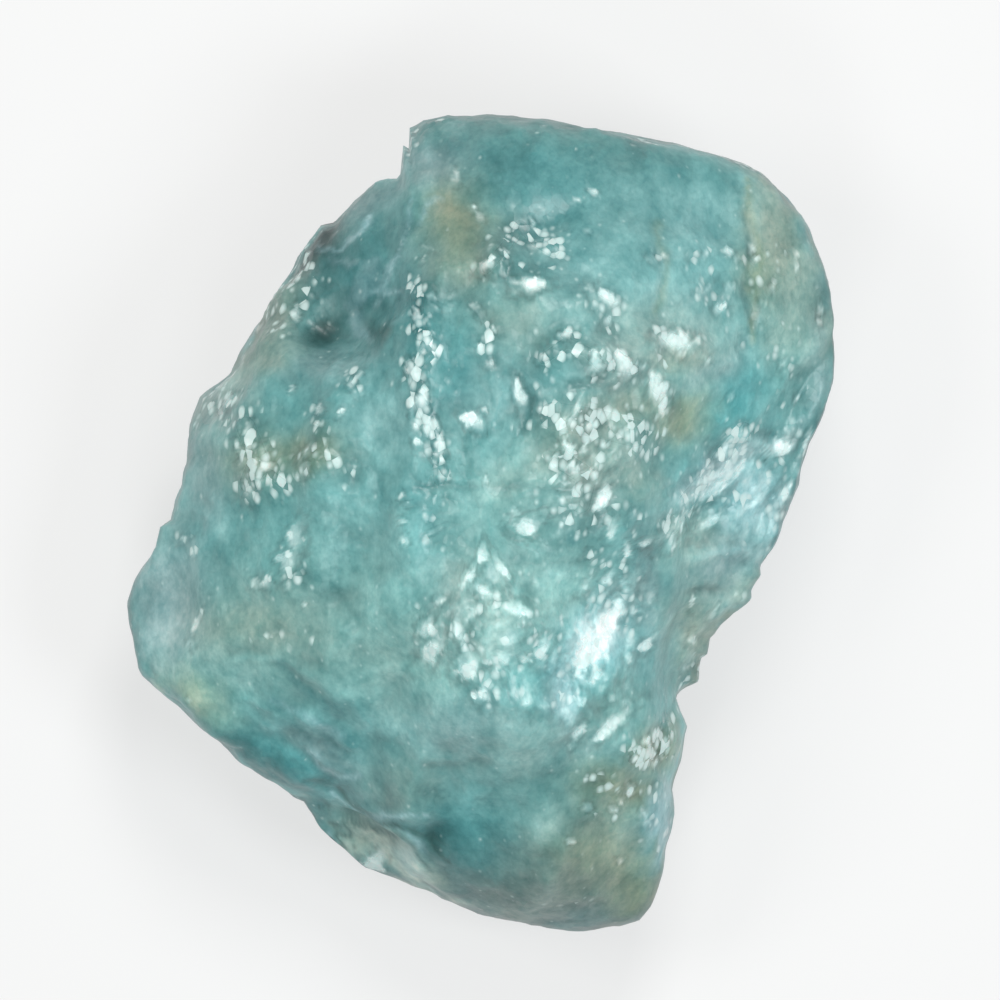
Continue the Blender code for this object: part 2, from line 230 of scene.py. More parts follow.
def front_height(x, y):
    """The front's height: the lowest of its fracture planes, with ledges, crests and lumps."""
    planes = [
        height + slope_x * (x - face_x) + slope_y * (y - face_y)
        for face_x, face_y, height, slope_x, slope_y in FRONT_FACES
    ]
    height = blended_lowest(planes, FRONT_BLEND)
    for path, drop, width, reach in LEDGES:
        side, from_end = path_places(x, y, path)
        step = smoothstep(side, 0, width) * (1 - smoothstep(side, width, reach))
        height -= drop * step * smoothstep(from_end, 0, LEDGE_TAPER)
    for path, rise, half_width in CRESTS:
        side, _ = path_places(x, y, path)
        height += rise * np.exp(-((side / half_width) ** 2))
    for lump_x, lump_y, along, across, turn, rise in LUMPS:
        height += rise * np.exp(-(ellipse_places(x, y, lump_x, lump_y, along, across, turn) ** 2))
    return height


def back_height(x, y):
    """The back's height: below the surface in the middle, and rising along its fracture planes."""
    planes = [np.full(x.shape, -BASE_SINK)]
    for bearing, start, rise in BACK_FACES:
        turn = math.radians(bearing)
        planes.append(rise * (x * math.cos(turn) + y * math.sin(turn) - start) - BASE_SINK)
    return -blended_lowest([-plane for plane in planes], BACK_BLEND)


def stone_surface(directions):
    """Each unit direction's point on the stone.

    The direction's level part picks the place inside the outline. Its upright part, raised to the
    edge's sharpness, says how far the point is from the girdle to the front or back height.
    """
    dx, dy, dz = directions.T
    bearing = np.arctan2(dy, dx)
    level = np.hypot(dx, dy)
    notched = np.exp(-((dz / NOTCH_HEIGHT) ** 2))
    radius = softened_radius(bearing) * (1 - notched) + outline_radius(bearing) * notched
    x, y = radius * level * np.cos(bearing), radius * level * np.sin(bearing)

    degrees, sharpness = np.array(EDGE_SHARPNESS, float).T
    power = np.interp(np.degrees(bearing), degrees, sharpness, period=360)
    far = np.abs(dz) ** power
    girdle = girdle_height(bearing)
    front = np.maximum(front_height(x, y), girdle + LEAST_SIDE)
    back = np.minimum(back_height(x, y), girdle - LEAST_SIDE)
    target = np.where(dz > 0, front, back)
    points = np.stack([x, y, girdle + (target - girdle) * far], axis=1)

    calm = smoothstep(np.abs(dz), 0, RIM_CALM)
    bumps = sum(h * smooth_noise(points, size, seed) for size, h, seed in NOISE_LAYERS)
    points += directions * (bumps * calm)[:, None]
    return points


# ---------------------------------------------------------------------------------------------
# The stone's fine relief: beryl breaks into small curved and flat chips. Groups of fresh chips lie
# along the crests and ledges, and single flat ones are large enough to flash as one. Painted
# glints and painted shadows are laid on the single chips as well.
# ---------------------------------------------------------------------------------------------
# Groups of small chips: path of the group, half width and strength from 0 to 1.
CHIP_GROUPS = [
    ([(-1.9, 7.0), (-1.8, 5.8), (-1.5, 5.2), (-2.0, 4.6), (-1.8, 3.7), (-1.3, 2.5), (-1.2, 1.3)], 0.35, 1.0),
    ([(-0.15, 6.5), (0.4, 5.8), (0.2, 5.1), (0.4, 4.6)], 0.25, 0.8),
    ([(-3.7, 4.5), (-3.9, 4.0)], 0.25, 0.8),
    ([(-4.7, 3.5), (-4.8, 3.0), (-4.6, 2.3), (-5.2, 1.6)], 0.25, 0.8),
    ([(-7.0, 2.9), (-6.6, 1.9), (-6.9, 1.2)], 0.55, 1.0),
    ([(-6.3, 1.5), (-5.9, 1.2)], 0.4, 0.9),
    ([(-5.4, 2.0), (-4.6, 2.1), (-3.8, 1.5)], 0.3, 0.6),
    ([(-7.4, 3.8), (-7.8, 3.3)], 0.25, 0.9),
    ([(0.2, 7.6), (0.8, 8.3), (1.2, 8.9), (1.7, 8.4), (2.2, 8.1)], 0.45, 0.9),
    ([(1.0, 7.6), (2.0, 7.7)], 0.4, 0.6),
    ([(5.0, 8.0), (5.6, 7.9)], 0.2, 0.8),
    ([(6.3, 8.0), (7.3, 8.1), (8.2, 8.0)], 0.2, 0.7),
    ([(8.4, 6.8), (8.9, 7.4), (9.3, 8.1)], 0.5, 0.5),
    ([(6.4, 6.9), (7.4, 6.6)], 0.4, 0.6),
    ([(3.2, 6.7), (4.0, 6.6), (3.8, 5.9)], 0.4, 0.7),
    ([(1.9, 4.9), (2.6, 5.4), (3.2, 5.1), (3.6, 4.7), (4.6, 4.6)], 0.45, 0.9),
    ([(5.4, 5.6), (6.4, 5.4)], 0.3, 0.8),
    ([(5.5, 4.2), (5.4, 3.4)], 0.3, 0.8),
    ([(2.2, 3.2), (3.4, 3.0), (4.6, 2.7)], 0.8, 1.0),
    ([(2.4, 1.9), (3.2, 1.4), (3.0, 0.6)], 0.8, 0.9),
    ([(3.9, 0.6), (4.7, 0.1), (5.0, -0.6)], 0.4, 0.6),
    ([(3.4, -1.0), (4.2, -1.6), (3.6, -2.3)], 0.5, 0.6),
    ([(-1.4, -3.0), (-0.4, -3.6), (0.2, -4.8)], 0.6, 0.6),
    ([(0.2, -2.2), (1.2, -2.8), (1.8, -3.8)], 0.7, 0.6),
    ([(4.5, -2.4), (4.4, -3.4)], 0.3, 0.6), ([(2.9, -4.4), (2.6, -5.2)], 0.4, 0.8),
    ([(7.9, 2.8), (7.3, 2.1), (6.9, 1.5), (6.2, 0.7), (5.7, -0.1)], 0.45, 1.0),
    ([(7.0, 0.8), (8.0, 0.6), (8.8, 0.2)], 0.7, 0.7),
    ([(8.8, 2.5), (9.5, 2.8), (9.5, 3.7)], 0.4, 0.5),
    ([(10.1, 6.6), (10.2, 6.0)], 0.2, 0.8),
    ([(5.6, -6.1), (5.3, -6.8), (4.6, -7.0)], 0.4, 1.0),
    ([(3.3, -7.6), (4.4, -7.9), (3.3, -8.5), (3.9, -8.8)], 0.3, 0.6),
    ([(5.0, -8.4), (5.2, -9.4)], 0.4, 0.5),
    ([(-6.5, -1.8), (-5.4, -1.6)], 0.25, 0.8),
    ([(-8.9, -0.4), (-8.5, -0.9)], 0.25, 0.6),
    ([(-5.5, 8.1), (-5.2, 7.3), (-5.5, 6.3)], 0.45, 0.8),
    ([(-6.9, 6.0), (-6.2, 6.9), (-5.9, 5.9)], 0.4, 0.6),
    ([(-1.5, 2.0), (-1.1, 0.6), (-1.4, -0.4), (-0.5, -0.9)], 0.3, 0.6),
    ([(-5.0, -3.8), (-6.6, -3.4)], 0.5, 0.3),
    ([(6.9, 0.5), (8.1, 1.3), (9.0, 1.3), (8.5, 0.0)], 0.8, 0.5),
    ([(8.1, 5.9), (9.1, 5.0), (9.3, 3.8)], 0.7, 0.35),
    ([(5.4, 5.0), (6.3, 4.9)], 0.35, 0.7), ([(7.0, 8.3), (7.6, 8.0), (7.2, 7.5)], 0.4, 0.45),
    ([(7.3, -1.8), (8.0, -2.2)], 0.3, 0.4), ([(5.2, -8.0), (5.5, -9.2)], 0.35, 0.6),
]

# Single chips, by the bearing of the lamp that they face and how bright the painted glint on them
# is: x, y, half length, half width and turn in degrees. Each lies over the ones before it.
FLAT_CHIPS = [
    (80, 0.5, [
        (-1.6, 5.2, 0.34, 0.24, 80), (-1.48, 6.35, 0.48, 0.24, 85), (-1.95, 3.0, 0.6, 0.16, 95),
        (3.8, 5.9, 0.34, 0.19, 80), (6.6, 6.8, 0.56, 0.2, 40), (1.25, 3.65, 0.56, 0.28, 100),
        (5.45, 3.6, 0.66, 0.3, 105), (4.2, 4.7, 0.6, 0.34, 110), (1.45, 7.15, 0.52, 0.3, 5),
        (5.9, 5.35, 0.62, 0.32, 170), (-0.1, 3.05, 0.46, 0.28, 150), (1.5, 8.5, 0.7, 0.3, 20),
        (0.35, 7.8, 0.46, 0.18, 45), (7.35, 6.7, 0.4, 0.26, 70), (3.55, 6.6, 0.5, 0.28, 130),
    ]),
    (80, 0.9, [
        (-0.75, 10.3, 0.22, 0.15, 80), (-0.2, 9.42, 0.15, 0.11, 60), (0.0, 9.12, 0.15, 0.1, 110),
        (0.7, 8.1, 0.14, 0.09, 30), (-1.6, 8.24, 0.16, 0.06, 160), (-1.7, 7.84, 0.14, 0.07, 60),
        (-1.45, 6.75, 0.14, 0.1, 60), (-1.3, 6.4, 0.12, 0.09, 120), (-1.55, 5.95, 0.12, 0.09, 30),
        (-1.62, 5.62, 0.13, 0.1, 70), (-1.4, 5.25, 0.16, 0.1, 100), (-1.75, 5.05, 0.13, 0.09, 40),
        (-1.92, 2.85, 0.15, 0.11, 100), (-1.9, 2.43, 0.14, 0.12, 0), (-1.02, 1.5, 0.18, 0.09, 85),
        (-2.3, 0.84, 0.13, 0.1, 70), (-2.15, 0.6, 0.12, 0.1, 40), (-0.15, 6.45, 0.2, 0.11, 150),
        (0.08, 6.22, 0.14, 0.1, 40), (0.4, 5.8, 0.14, 0.1, 100), (0.0, 5.25, 0.18, 0.08, 80),
        (0.28, 4.75, 0.14, 0.11, 40), (0.15, 3.35, 0.12, 0.1, 30), (0.18, 1.3, 0.12, 0.09, 90),
        (1.35, 9.04, 0.22, 0.08, 20), (1.8, 9.4, 0.1, 0.08, 0), (1.5, 8.8, 0.24, 0.09, 60),
        (1.6, 8.24, 0.15, 0.11, 160), (2.2, 8.6, 0.11, 0.08, 70), (2.3, 8.2, 0.13, 0.09, 30),
        (2.8, 9.62, 0.2, 0.07, 20), (3.2, 8.7, 0.14, 0.07, 170), (5.1, 7.9, 0.18, 0.1, 150),
        (5.47, 7.97, 0.11, 0.08, 10), (6.3, 8.0, 0.11, 0.08, 60), (6.7, 8.0, 0.12, 0.09, 60),
        (7.7, 7.9, 0.12, 0.08, 20), (8.1, 8.2, 0.13, 0.1, 100), (8.25, 7.85, 0.12, 0.09, 30),
        (3.3, 6.95, 0.2, 0.1, 100), (3.42, 6.52, 0.13, 0.1, 30), (6.75, 6.95, 0.26, 0.1, 40),
        (7.5, 7.05, 0.16, 0.1, 20), (3.84, 6.0, 0.16, 0.11, 80), (2.3, 5.25, 0.17, 0.11, 160),
        (1.85, 4.92, 0.17, 0.09, 45), (2.72, 5.06, 0.11, 0.09, 0), (3.1, 5.16, 0.17, 0.09, 130),
        (4.86, 4.68, 0.16, 0.12, 10), (6.45, 5.4, 0.17, 0.13, 70), (5.95, 5.0, 0.16, 0.11, 20),
        (2.45, 3.1, 0.18, 0.11, 20), (2.9, 3.4, 0.17, 0.1, 60), (3.8, 3.1, 0.18, 0.11, 130),
        (4.3, 2.75, 0.17, 0.12, 40), (3.1, 2.2, 0.18, 0.12, 80), (3.7, 2.3, 0.16, 0.11, 20),
        (2.2, 1.9, 0.17, 0.12, 60), (3.3, 1.5, 0.18, 0.12, 10), (2.5, 1.1, 0.15, 0.11, 30),
    ]),
    (80, 1.5, [
        (-1.86, 6.19, 0.3, 0.14, 100), (-2.05, 4.6, 0.26, 0.16, 110), (-1.75, 3.7, 0.36, 0.23, 80),
        (-1.25, 2.4, 0.5, 0.16, 95), (0.2, 7.74, 0.34, 0.11, 45), (1.55, 7.12, 0.46, 0.24, 5),
        (3.75, 6.8, 0.34, 0.16, 130), (2.6, 5.64, 0.24, 0.11, 25), (3.45, 4.8, 0.3, 0.18, 100),
        (4.25, 4.75, 0.42, 0.24, 120), (5.75, 5.48, 0.56, 0.27, 170), (5.3, 3.95, 0.48, 0.26, 110),
        (5.45, 3.3, 0.22, 0.13, 100), (1.2, 3.8, 0.42, 0.18, 105), (-0.3, 3.04, 0.38, 0.21, 155),
        (3.4, 9.88, 0.15, 0.09, 150), (7.2, 6.42, 0.22, 0.11, 30), (7.4, 8.14, 0.16, 0.09, 160),
        (3.3, 2.9, 0.24, 0.14, 10), (2.6, 2.3, 0.22, 0.14, 150), (2.8, 1.6, 0.24, 0.14, 110),
    ]),
    (165, 1.0, [
        (-5.1, 8.1, 0.1, 0.08, 0), (-5.45, 7.4, 0.14, 0.09, 60), (-5.05, 6.8, 0.13, 0.09, 110),
        (-5.5, 6.3, 0.28, 0.09, 85), (-6.6, 5.9, 0.15, 0.09, 40), (-7.44, 3.7, 0.32, 0.17, 25),
        (-7.72, 3.4, 0.16, 0.11, 80), (-6.9, 2.85, 0.19, 0.13, 70), (-5.6, 4.05, 0.11, 0.08, 90),
        (-4.78, 3.45, 0.17, 0.1, 85), (-4.8, 2.97, 0.12, 0.1, 0), (-4.17, 3.3, 0.17, 0.1, 80),
        (-3.84, 4.17, 0.15, 0.11, 60), (-3.57, 4.47, 0.15, 0.11, 50), (-7.2, 2.25, 0.2, 0.13, 120),
        (-6.85, 2.3, 0.18, 0.12, 20), (-6.45, 2.2, 0.18, 0.12, 80), (-7.1, 1.85, 0.16, 0.12, 40),
        (-6.7, 1.8, 0.2, 0.12, 100), (-6.3, 1.7, 0.18, 0.12, 20), (-6.95, 1.4, 0.16, 0.11, 60),
        (-6.55, 1.3, 0.14, 0.1, 130), (-5.16, 2.13, 0.32, 0.12, 60), (-5.2, 1.65, 0.26, 0.14, 80),
        (-6.9, 0.96, 0.32, 0.13, 95), (-5.45, -0.35, 0.42, 0.26, 75), (-5.64, -1.05, 0.3, 0.28, 30),
        (-6.66, -1.8, 0.18, 0.14, 0), (-6.33, -1.75, 0.2, 0.15, 100), (-5.7, -1.8, 0.18, 0.13, 40),
        (-5.42, -1.53, 0.14, 0.08, 10), (-5.2, -2.45, 0.07, 0.07, 0), (-8.8, -0.42, 0.18, 0.11, 20),
        (-8.55, -0.85, 0.1, 0.08, 80), (-6.93, -1.4, 0.07, 0.06, 0), (-8.46, -2.94, 0.36, 0.09, 65),
        (-8.67, -3.6, 0.17, 0.11, 150), (-8.7, -5.3, 0.1, 0.08, 30),
    ]),
    (-20, 0.6, [
        (9.5, 1.7, 1.3, 0.22, 66), (7.7, 0.35, 0.95, 0.5, 10), (8.3, 1.2, 0.65, 0.45, 30),
        (7.93, 1.54, 0.4, 0.32, 60), (6.85, 1.15, 1.3, 0.42, 42), (7.6, 2.55, 0.55, 0.36, 40),
        (8.55, 0.05, 0.8, 0.4, 60), (7.0, 0.2, 0.6, 0.3, 20), (8.6, -0.9, 0.5, 0.3, 40),
    ]),
    (-20, 0.9, [
        (9.4, 8.07, 0.12, 0.1, 0), (9.45, 7.74, 0.12, 0.09, 60), (8.73, 7.05, 0.15, 0.11, 80),
        (8.46, 6.57, 0.15, 0.1, 20), (10.2, 6.4, 0.18, 0.09, 85), (10.18, 6.05, 0.14, 0.08, 60),
        (9.06, 4.83, 0.15, 0.1, 80), (9.15, 4.5, 0.12, 0.09, 20), (6.8, 4.83, 0.1, 0.08, 0),
        (7.5, 3.8, 0.13, 0.1, 40), (9.84, 2.7, 0.16, 0.09, 60), (7.56, 2.75, 0.15, 0.1, 30),
        (7.8, 2.45, 0.12, 0.09, 0), (7.32, 2.65, 0.12, 0.09, 80), (6.85, 1.3, 0.5, 0.2, 40),
        (5.9, 0.0, 0.55, 0.2, 50), (5.7, -0.6, 0.3, 0.14, 60), (9.15, 0.93, 0.4, 0.16, 60),
        (8.3, 0.7, 0.34, 0.18, 40), (7.75, 0.35, 0.32, 0.18, 30), (6.36, -2.3, 0.3, 0.07, 80),
        (7.0, -2.67, 0.22, 0.08, 60), (4.9, -8.7, 0.24, 0.14, 100),
    ]),
    (-20, 1.4, [
        (7.3, 2.2, 0.34, 0.16, 50), (7.45, 1.45, 0.66, 0.26, 35), (6.85, 0.95, 0.44, 0.22, 30),
        (6.8, -0.05, 0.4, 0.18, 40), (8.92, 2.38, 0.32, 0.22, 140), (9.3, -0.8, 0.62, 0.24, 68),
        (9.5, 3.71, 0.11, 0.09, 0), (5.27, -6.3, 0.15, 0.11, 30), (5.52, -6.53, 0.14, 0.1, 120),
        (5.6, -6.79, 0.12, 0.09, 80), (5.47, -6.99, 0.13, 0.1, 0), (5.22, -7.17, 0.15, 0.1, 30),
        (4.65, -6.97, 0.13, 0.1, 90), (4.93, -6.5, 0.12, 0.09, 40), (5.17, -6.89, 0.12, 0.09, 0),
    ]),
    (260, 0.6, [
        (0.75, -3.6, 0.78, 0.62, 70), (0.1, -2.0, 0.8, 0.34, -20), (1.05, -2.6, 0.66, 0.32, -20),
        (0.45, -1.3, 0.5, 0.34, 120), (-0.45, -2.6, 0.7, 0.36, 80), (1.86, -3.6, 0.55, 0.28, 70),
        (1.3, -4.7, 0.8, 0.4, 105), (2.8, -5.0, 0.95, 0.36, 75), (2.6, -2.9, 0.8, 0.45, 30),
        (4.3, -2.1, 0.7, 0.3, 60), (0.3, -4.8, 0.6, 0.26, 65), (4.5, -3.2, 0.6, 0.2, 85),
        (3.6, -2.3, 0.6, 0.16, 55), (3.85, -4.4, 0.45, 0.2, 80), (4.4, -4.8, 0.3, 0.14, 90),
        (-1.25, -3.4, 0.75, 0.4, 75), (-0.35, -3.9, 0.6, 0.4, 90), (3.9, -5.9, 0.8, 0.3, 35),
    ]),
    (260, 0.8, [
        (3.62, -3.35, 1.5, 0.66, 65), (1.0, -2.55, 0.5, 0.24, -20), (0.1, -2.0, 0.55, 0.2, -25),
        (-0.47, -1.6, 0.26, 0.1, 75), (-1.16, -2.24, 0.16, 0.12, 0), (-0.24, -1.41, 0.36, 0.13, 70),
        (0.6, -1.2, 0.42, 0.12, 120), (-0.54, -3.1, 0.62, 0.22, 100), (-0.15, -2.6, 0.42, 0.12, 60),
        (0.55, -3.9, 0.36, 0.28, 60), (1.05, -3.35, 0.38, 0.24, 20), (1.86, -3.5, 0.44, 0.16, 70),
        (2.2, -4.0, 0.38, 0.13, 80), (2.9, -3.9, 0.55, 0.18, 80), (3.02, -3.0, 0.5, 0.15, 85),
        (0.18, -4.8, 0.48, 0.2, 65), (0.95, -4.6, 0.5, 0.11, 95), (1.35, -4.9, 0.55, 0.12, 100),
        (2.75, -5.15, 0.65, 0.17, 75), (1.88, -5.42, 0.16, 0.12, 0), (4.26, -1.75, 0.22, 0.1, 100),
        (3.36, -0.9, 0.16, 0.13, 0), (5.09, -2.16, 0.24, 0.12, 70), (4.7, -2.58, 0.17, 0.13, 0),
        (4.42, -3.97, 0.22, 0.13, 100), (4.39, -5.34, 0.16, 0.11, 0), (2.76, -6.58, 0.14, 0.1, 60),
        (3.98, -5.16, 0.15, 0.12, 0), (3.45, -2.05, 0.4, 0.09, 55), (3.85, -2.35, 0.38, 0.09, 60),
        (3.2, -1.75, 0.36, 0.08, 50), (-2.3, 0.06, 0.14, 0.11, 0), (-2.25, -0.4, 0.14, 0.11, 80),
        (-1.44, -0.27, 0.34, 0.09, 30), (0.09, -0.81, 0.3, 0.13, 85), (3.41, -7.61, 0.14, 0.12, 0),
        (3.85, -7.85, 0.13, 0.11, 0), (3.98, -8.54, 0.13, 0.1, 0), (4.24, -8.26, 0.12, 0.09, 60),
        (4.2, -10.1, 0.12, 0.09, 0), (2.76, -9.5, 0.12, 0.09, 0), (3.96, -0.06, 0.4, 0.15, 75),
        (4.6, 0.3, 0.3, 0.12, 60), (6.35, -3.4, 0.2, 0.12, 80), (6.2, -4.3, 0.16, 0.12, 20),
        (6.05, -5.2, 0.16, 0.1, 60),
    ]),
    (260, 1.3, [
        (0.06, -0.87, 0.27, 0.16, 80), (-0.23, -1.49, 0.2, 0.11, 60), (1.13, -2.55, 0.32, 0.18, -20),
        (0.05, -1.95, 0.26, 0.12, -20), (-1.52, -3.0, 0.32, 0.19, 60), (-1.28, -3.65, 0.42, 0.25, 60),
        (-0.62, -3.15, 0.4, 0.15, 105), (-0.39, -4.08, 0.42, 0.34, 100), (0.72, -4.0, 0.3, 0.2, 40),
        (1.39, -4.05, 0.16, 0.13, 0), (1.92, -3.55, 0.34, 0.14, 66), (0.08, -4.98, 0.3, 0.19, 50),
        (3.05, -4.38, 0.42, 0.16, 85), (3.07, -5.24, 0.24, 0.13, 100), (3.87, -1.57, 0.34, 0.12, 60),
        (4.39, -0.77, 0.24, 0.13, 100), (4.98, -0.56, 0.19, 0.13, 30), (5.03, -3.58, 0.3, 0.15, 50),
        (4.13, -5.88, 0.62, 0.18, 40), (3.0, -6.15, 0.32, 0.13, 50), (4.49, -7.9, 0.18, 0.13, 120),
        (3.25, -8.44, 0.15, 0.12, 0), (3.63, 0.85, 0.5, 0.18, 70), (1.44, -0.02, 0.46, 0.3, 30),
    ]),
    (260, 1.9, [
        (3.6, -3.3, 1.0, 0.38, 65), (4.05, -2.6, 0.55, 0.22, 60), (3.15, -3.95, 0.42, 0.2, 70),
        (-3.12, -10.2, 0.48, 0.3, 60),
    ]),
]
# Chips shorter than LEAST_CUT carry only a painted glint, because their cut would be finer than the mesh.
CHIP_TILT = 17
LEAST_CUT = 0.28
DEEPEST_CUT = 0.09
GROUP_SPREAD = 1.2


def chip_strength(x, y):
    """How strongly each place is broken into small chips: the strongest of the groups that reach it."""
    strength = np.zeros(x.shape)
    for path, half_width, most in CHIP_GROUPS:
        side, _ = path_places(x, y, path)
        strength = np.maximum(strength, most * np.exp(-((side / (half_width * GROUP_SPREAD)) ** 2)))
    return strength


def faceted_noise(points, size, seed):
    """Random numbers on a cubic lattice, joined by flat facets.

    Each cube is cut into six tetrahedra, by walking from its low corner to its high corner along
    the axes in the order of the point's share along them, and the four corners met on the walk are
    mixed in proportion.
    """
    scaled = points / size
    cells = np.floor(scaled)
    part = scaled - cells
    order = np.argsort(-part, axis=1)
    share = np.take_along_axis(part, order, axis=1)
    weights = -np.diff(np.concatenate([np.ones((len(part), 1)), share, np.zeros((len(part), 1))], axis=1))
    total = weights[:, 0] * lattice(cells, seed)
    rows = np.arange(len(cells))
    for step in range(3):
        cells[rows, order[:, step]] += 1
        total += weights[:, step + 1] * lattice(cells, seed)
    return total


# Fine ridges and, below zero, grooves: path, height and half width.
CREASES = [
    ([(-2.4, 1.1), (0.2, 1.15), (2.6, 1.0), (4.8, 1.15)], -0.05, 0.12),
    ([(-6.9, -4.2), (-6.0, -4.3), (-5.4, -4.8), (-4.8, -5.2), (-4.3, -5.6)], -0.07, 0.14),
    ([(-7.6, -5.2), (-6.8, -5.3), (-6.0, -5.9)], 0.08, 0.12),
    ([(-5.9, -5.4), (-5.0, -6.0), (-4.2, -6.3)], 0.09, 0.13),
    ([(-4.9, -6.4), (-4.0, -6.9), (-3.0, -7.1)], -0.08, 0.13),
    ([(-6.5, -6.6), (-5.6, -7.0), (-4.9, -7.5)], 0.06, 0.12),
    ([(-6.0, -6.4), (-5.2, -6.7), (-4.6, -7.3), (-3.7, -7.6)], 0.08, 0.14),
    ([(-5.6, -7.0), (-4.9, -7.4), (-4.2, -7.9)], -0.09, 0.14),
    ([(-5.3, -7.9), (-4.3, -8.2), (-3.2, -8.7), (-1.6, -8.7)], 0.09, 0.12),
    ([(-7.2, -5.9), (-6.2, -6.2), (-5.4, -6.0)], 0.06, 0.14),
    ([(-4.6, -8.6), (-3.6, -9.0), (-2.6, -9.6), (-1.9, -10.3)], -0.2, 0.14),
    ([(-2.2, -7.3), (-0.8, -7.4), (0.6, -7.0)], -0.12, 0.16),
    ([(5.2, 8.8), (5.5, 7.4), (5.3, 6.3)], -0.08, 0.12),
    ([(7.9, 9.8), (8.2, 8.4), (8.0, 7.0), (8.3, 5.6)], -0.12, 0.14),
    ([(-8.0, -4.2), (-7.0, -4.0), (-6.0, -4.2)], 0.1, 0.14),
    ([(6.8, 3.4), (7.9, 2.6), (9.2, 2.1)], 0.16, 0.16),
    ([(6.0, -1.2), (7.2, -0.8), (8.5, -0.9)], 0.14, 0.16),
    ([(6.0, -2.2), (6.9, -2.0), (7.8, -2.1)], -0.14, 0.14),
    ([(2.2, 4.1), (3.4, 4.2), (4.6, 3.9)], -0.14, 0.16),
]

# Places worn to a waxy smoothness: x, y, radius along, radius across and turn in degrees.
WAXY_PLACES = [
    (5.4, 8.9, 3.4, 1.9, 0), (2.6, 9.8, 2.4, 1.4, 0), (3.4, 6.9, 1.5, 0.9, 0), (-4.6, 2.9, 1.0, 0.7, 0),
    (6.9, -1.4, 1.5, 0.9, 40), (-9.0, -2.9, 1.2, 1.8, 0), (-5.6, -0.4, 1.2, 1.0, 0),
    (3.5, -3.3, 1.5, 0.9, 64),
]


def turned(points):
    """The points in axes turned away from the stone's own, so that no facets line up with them."""
    turn = np.array([[0.36, 0.48, -0.8], [-0.8, 0.6, 0.0], [0.48, 0.64, 0.6]])
    return points @ turn


def waxiness(x, y):
    """How worn smooth each place is, from 0 to 1."""
    smoothest = np.zeros(x.shape)
    for centre_x, centre_y, along, across, turn in WAXY_PLACES:
        place = ellipse_places(x, y, centre_x, centre_y, along, across, turn)
        smoothest = np.maximum(smoothest, 1 - smoothstep(place, 0.6, 1.2))
    return smoothest


# The surface is cut back by this much on average, so that no ridge stands out of the solid.
MEAN_CUT = 0.10
WAXY_SHARE = 0.8


def chipped(points, directions):
    """The points with the chips and creases cut, and how high each place stands after it."""
    warp = np.stack([smooth_noise(points, 0.9, seed) for seed in (41, 42, 43)], axis=1)
    bent = turned(points + 0.25 * warp)
    x, y, _ = points.T
    strength = chip_strength(x, y) * (directions[:, 2] > 0)
    worn = waxiness(x, y) * (directions[:, 2] > 0)
    large = 0.10 * faceted_noise(bent, 1.25, 53) + 0.06 * faceted_noise(bent, 0.62, 51)
    small = 0.035 * faceted_noise(bent, 0.33, 52)
    depth = large * (1 - WAXY_SHARE * worn) + small * (0.5 + strength) * (1 - WAXY_SHARE * worn)
    on_front = smoothstep(directions[:, 2], 0, 0.3)
    for path, rise, half_width in CREASES:
        side, from_end = path_places(x, y, path)
        depth += rise * np.exp(-((side / half_width) ** 2)) * smoothstep(from_end, 0, 0.7) * on_front
    calm = 0.85 + 0.15 * smoothstep(np.abs(directions[:, 2]), 0, 0.25)
    return points + directions * (np.minimum(depth - MEAN_CUT, 0.0) * calm)[:, None], depth


def shard_places(x, y, centre_x, centre_y, along, across, turn):
    """How far each place is from the middle of a shard, where 1 is its edge.

    A shard is a long six-sided flat with straight sides, wider towards one end than the other.
    """
    angle = math.radians(turn)
    u = ((x - centre_x) * math.cos(angle) + (y - centre_y) * math.sin(angle)) / along
    v = ((y - centre_y) * math.cos(angle) - (x - centre_x) * math.sin(angle)) / across
    return np.maximum(np.abs(u), 0.55 * np.abs(u) + np.abs(v) * (1 + 0.35 * np.clip(u, -1, 1)))


# The shadow round a chip: where it lies, with 1 as the chip's edge, its width and its depth.
SHADOW_PLACE, SHADOW_WIDTH, SHADOW_DEPTH, DEEPEST_SHADOW = 1.5, 0.22, 0.3, -0.35


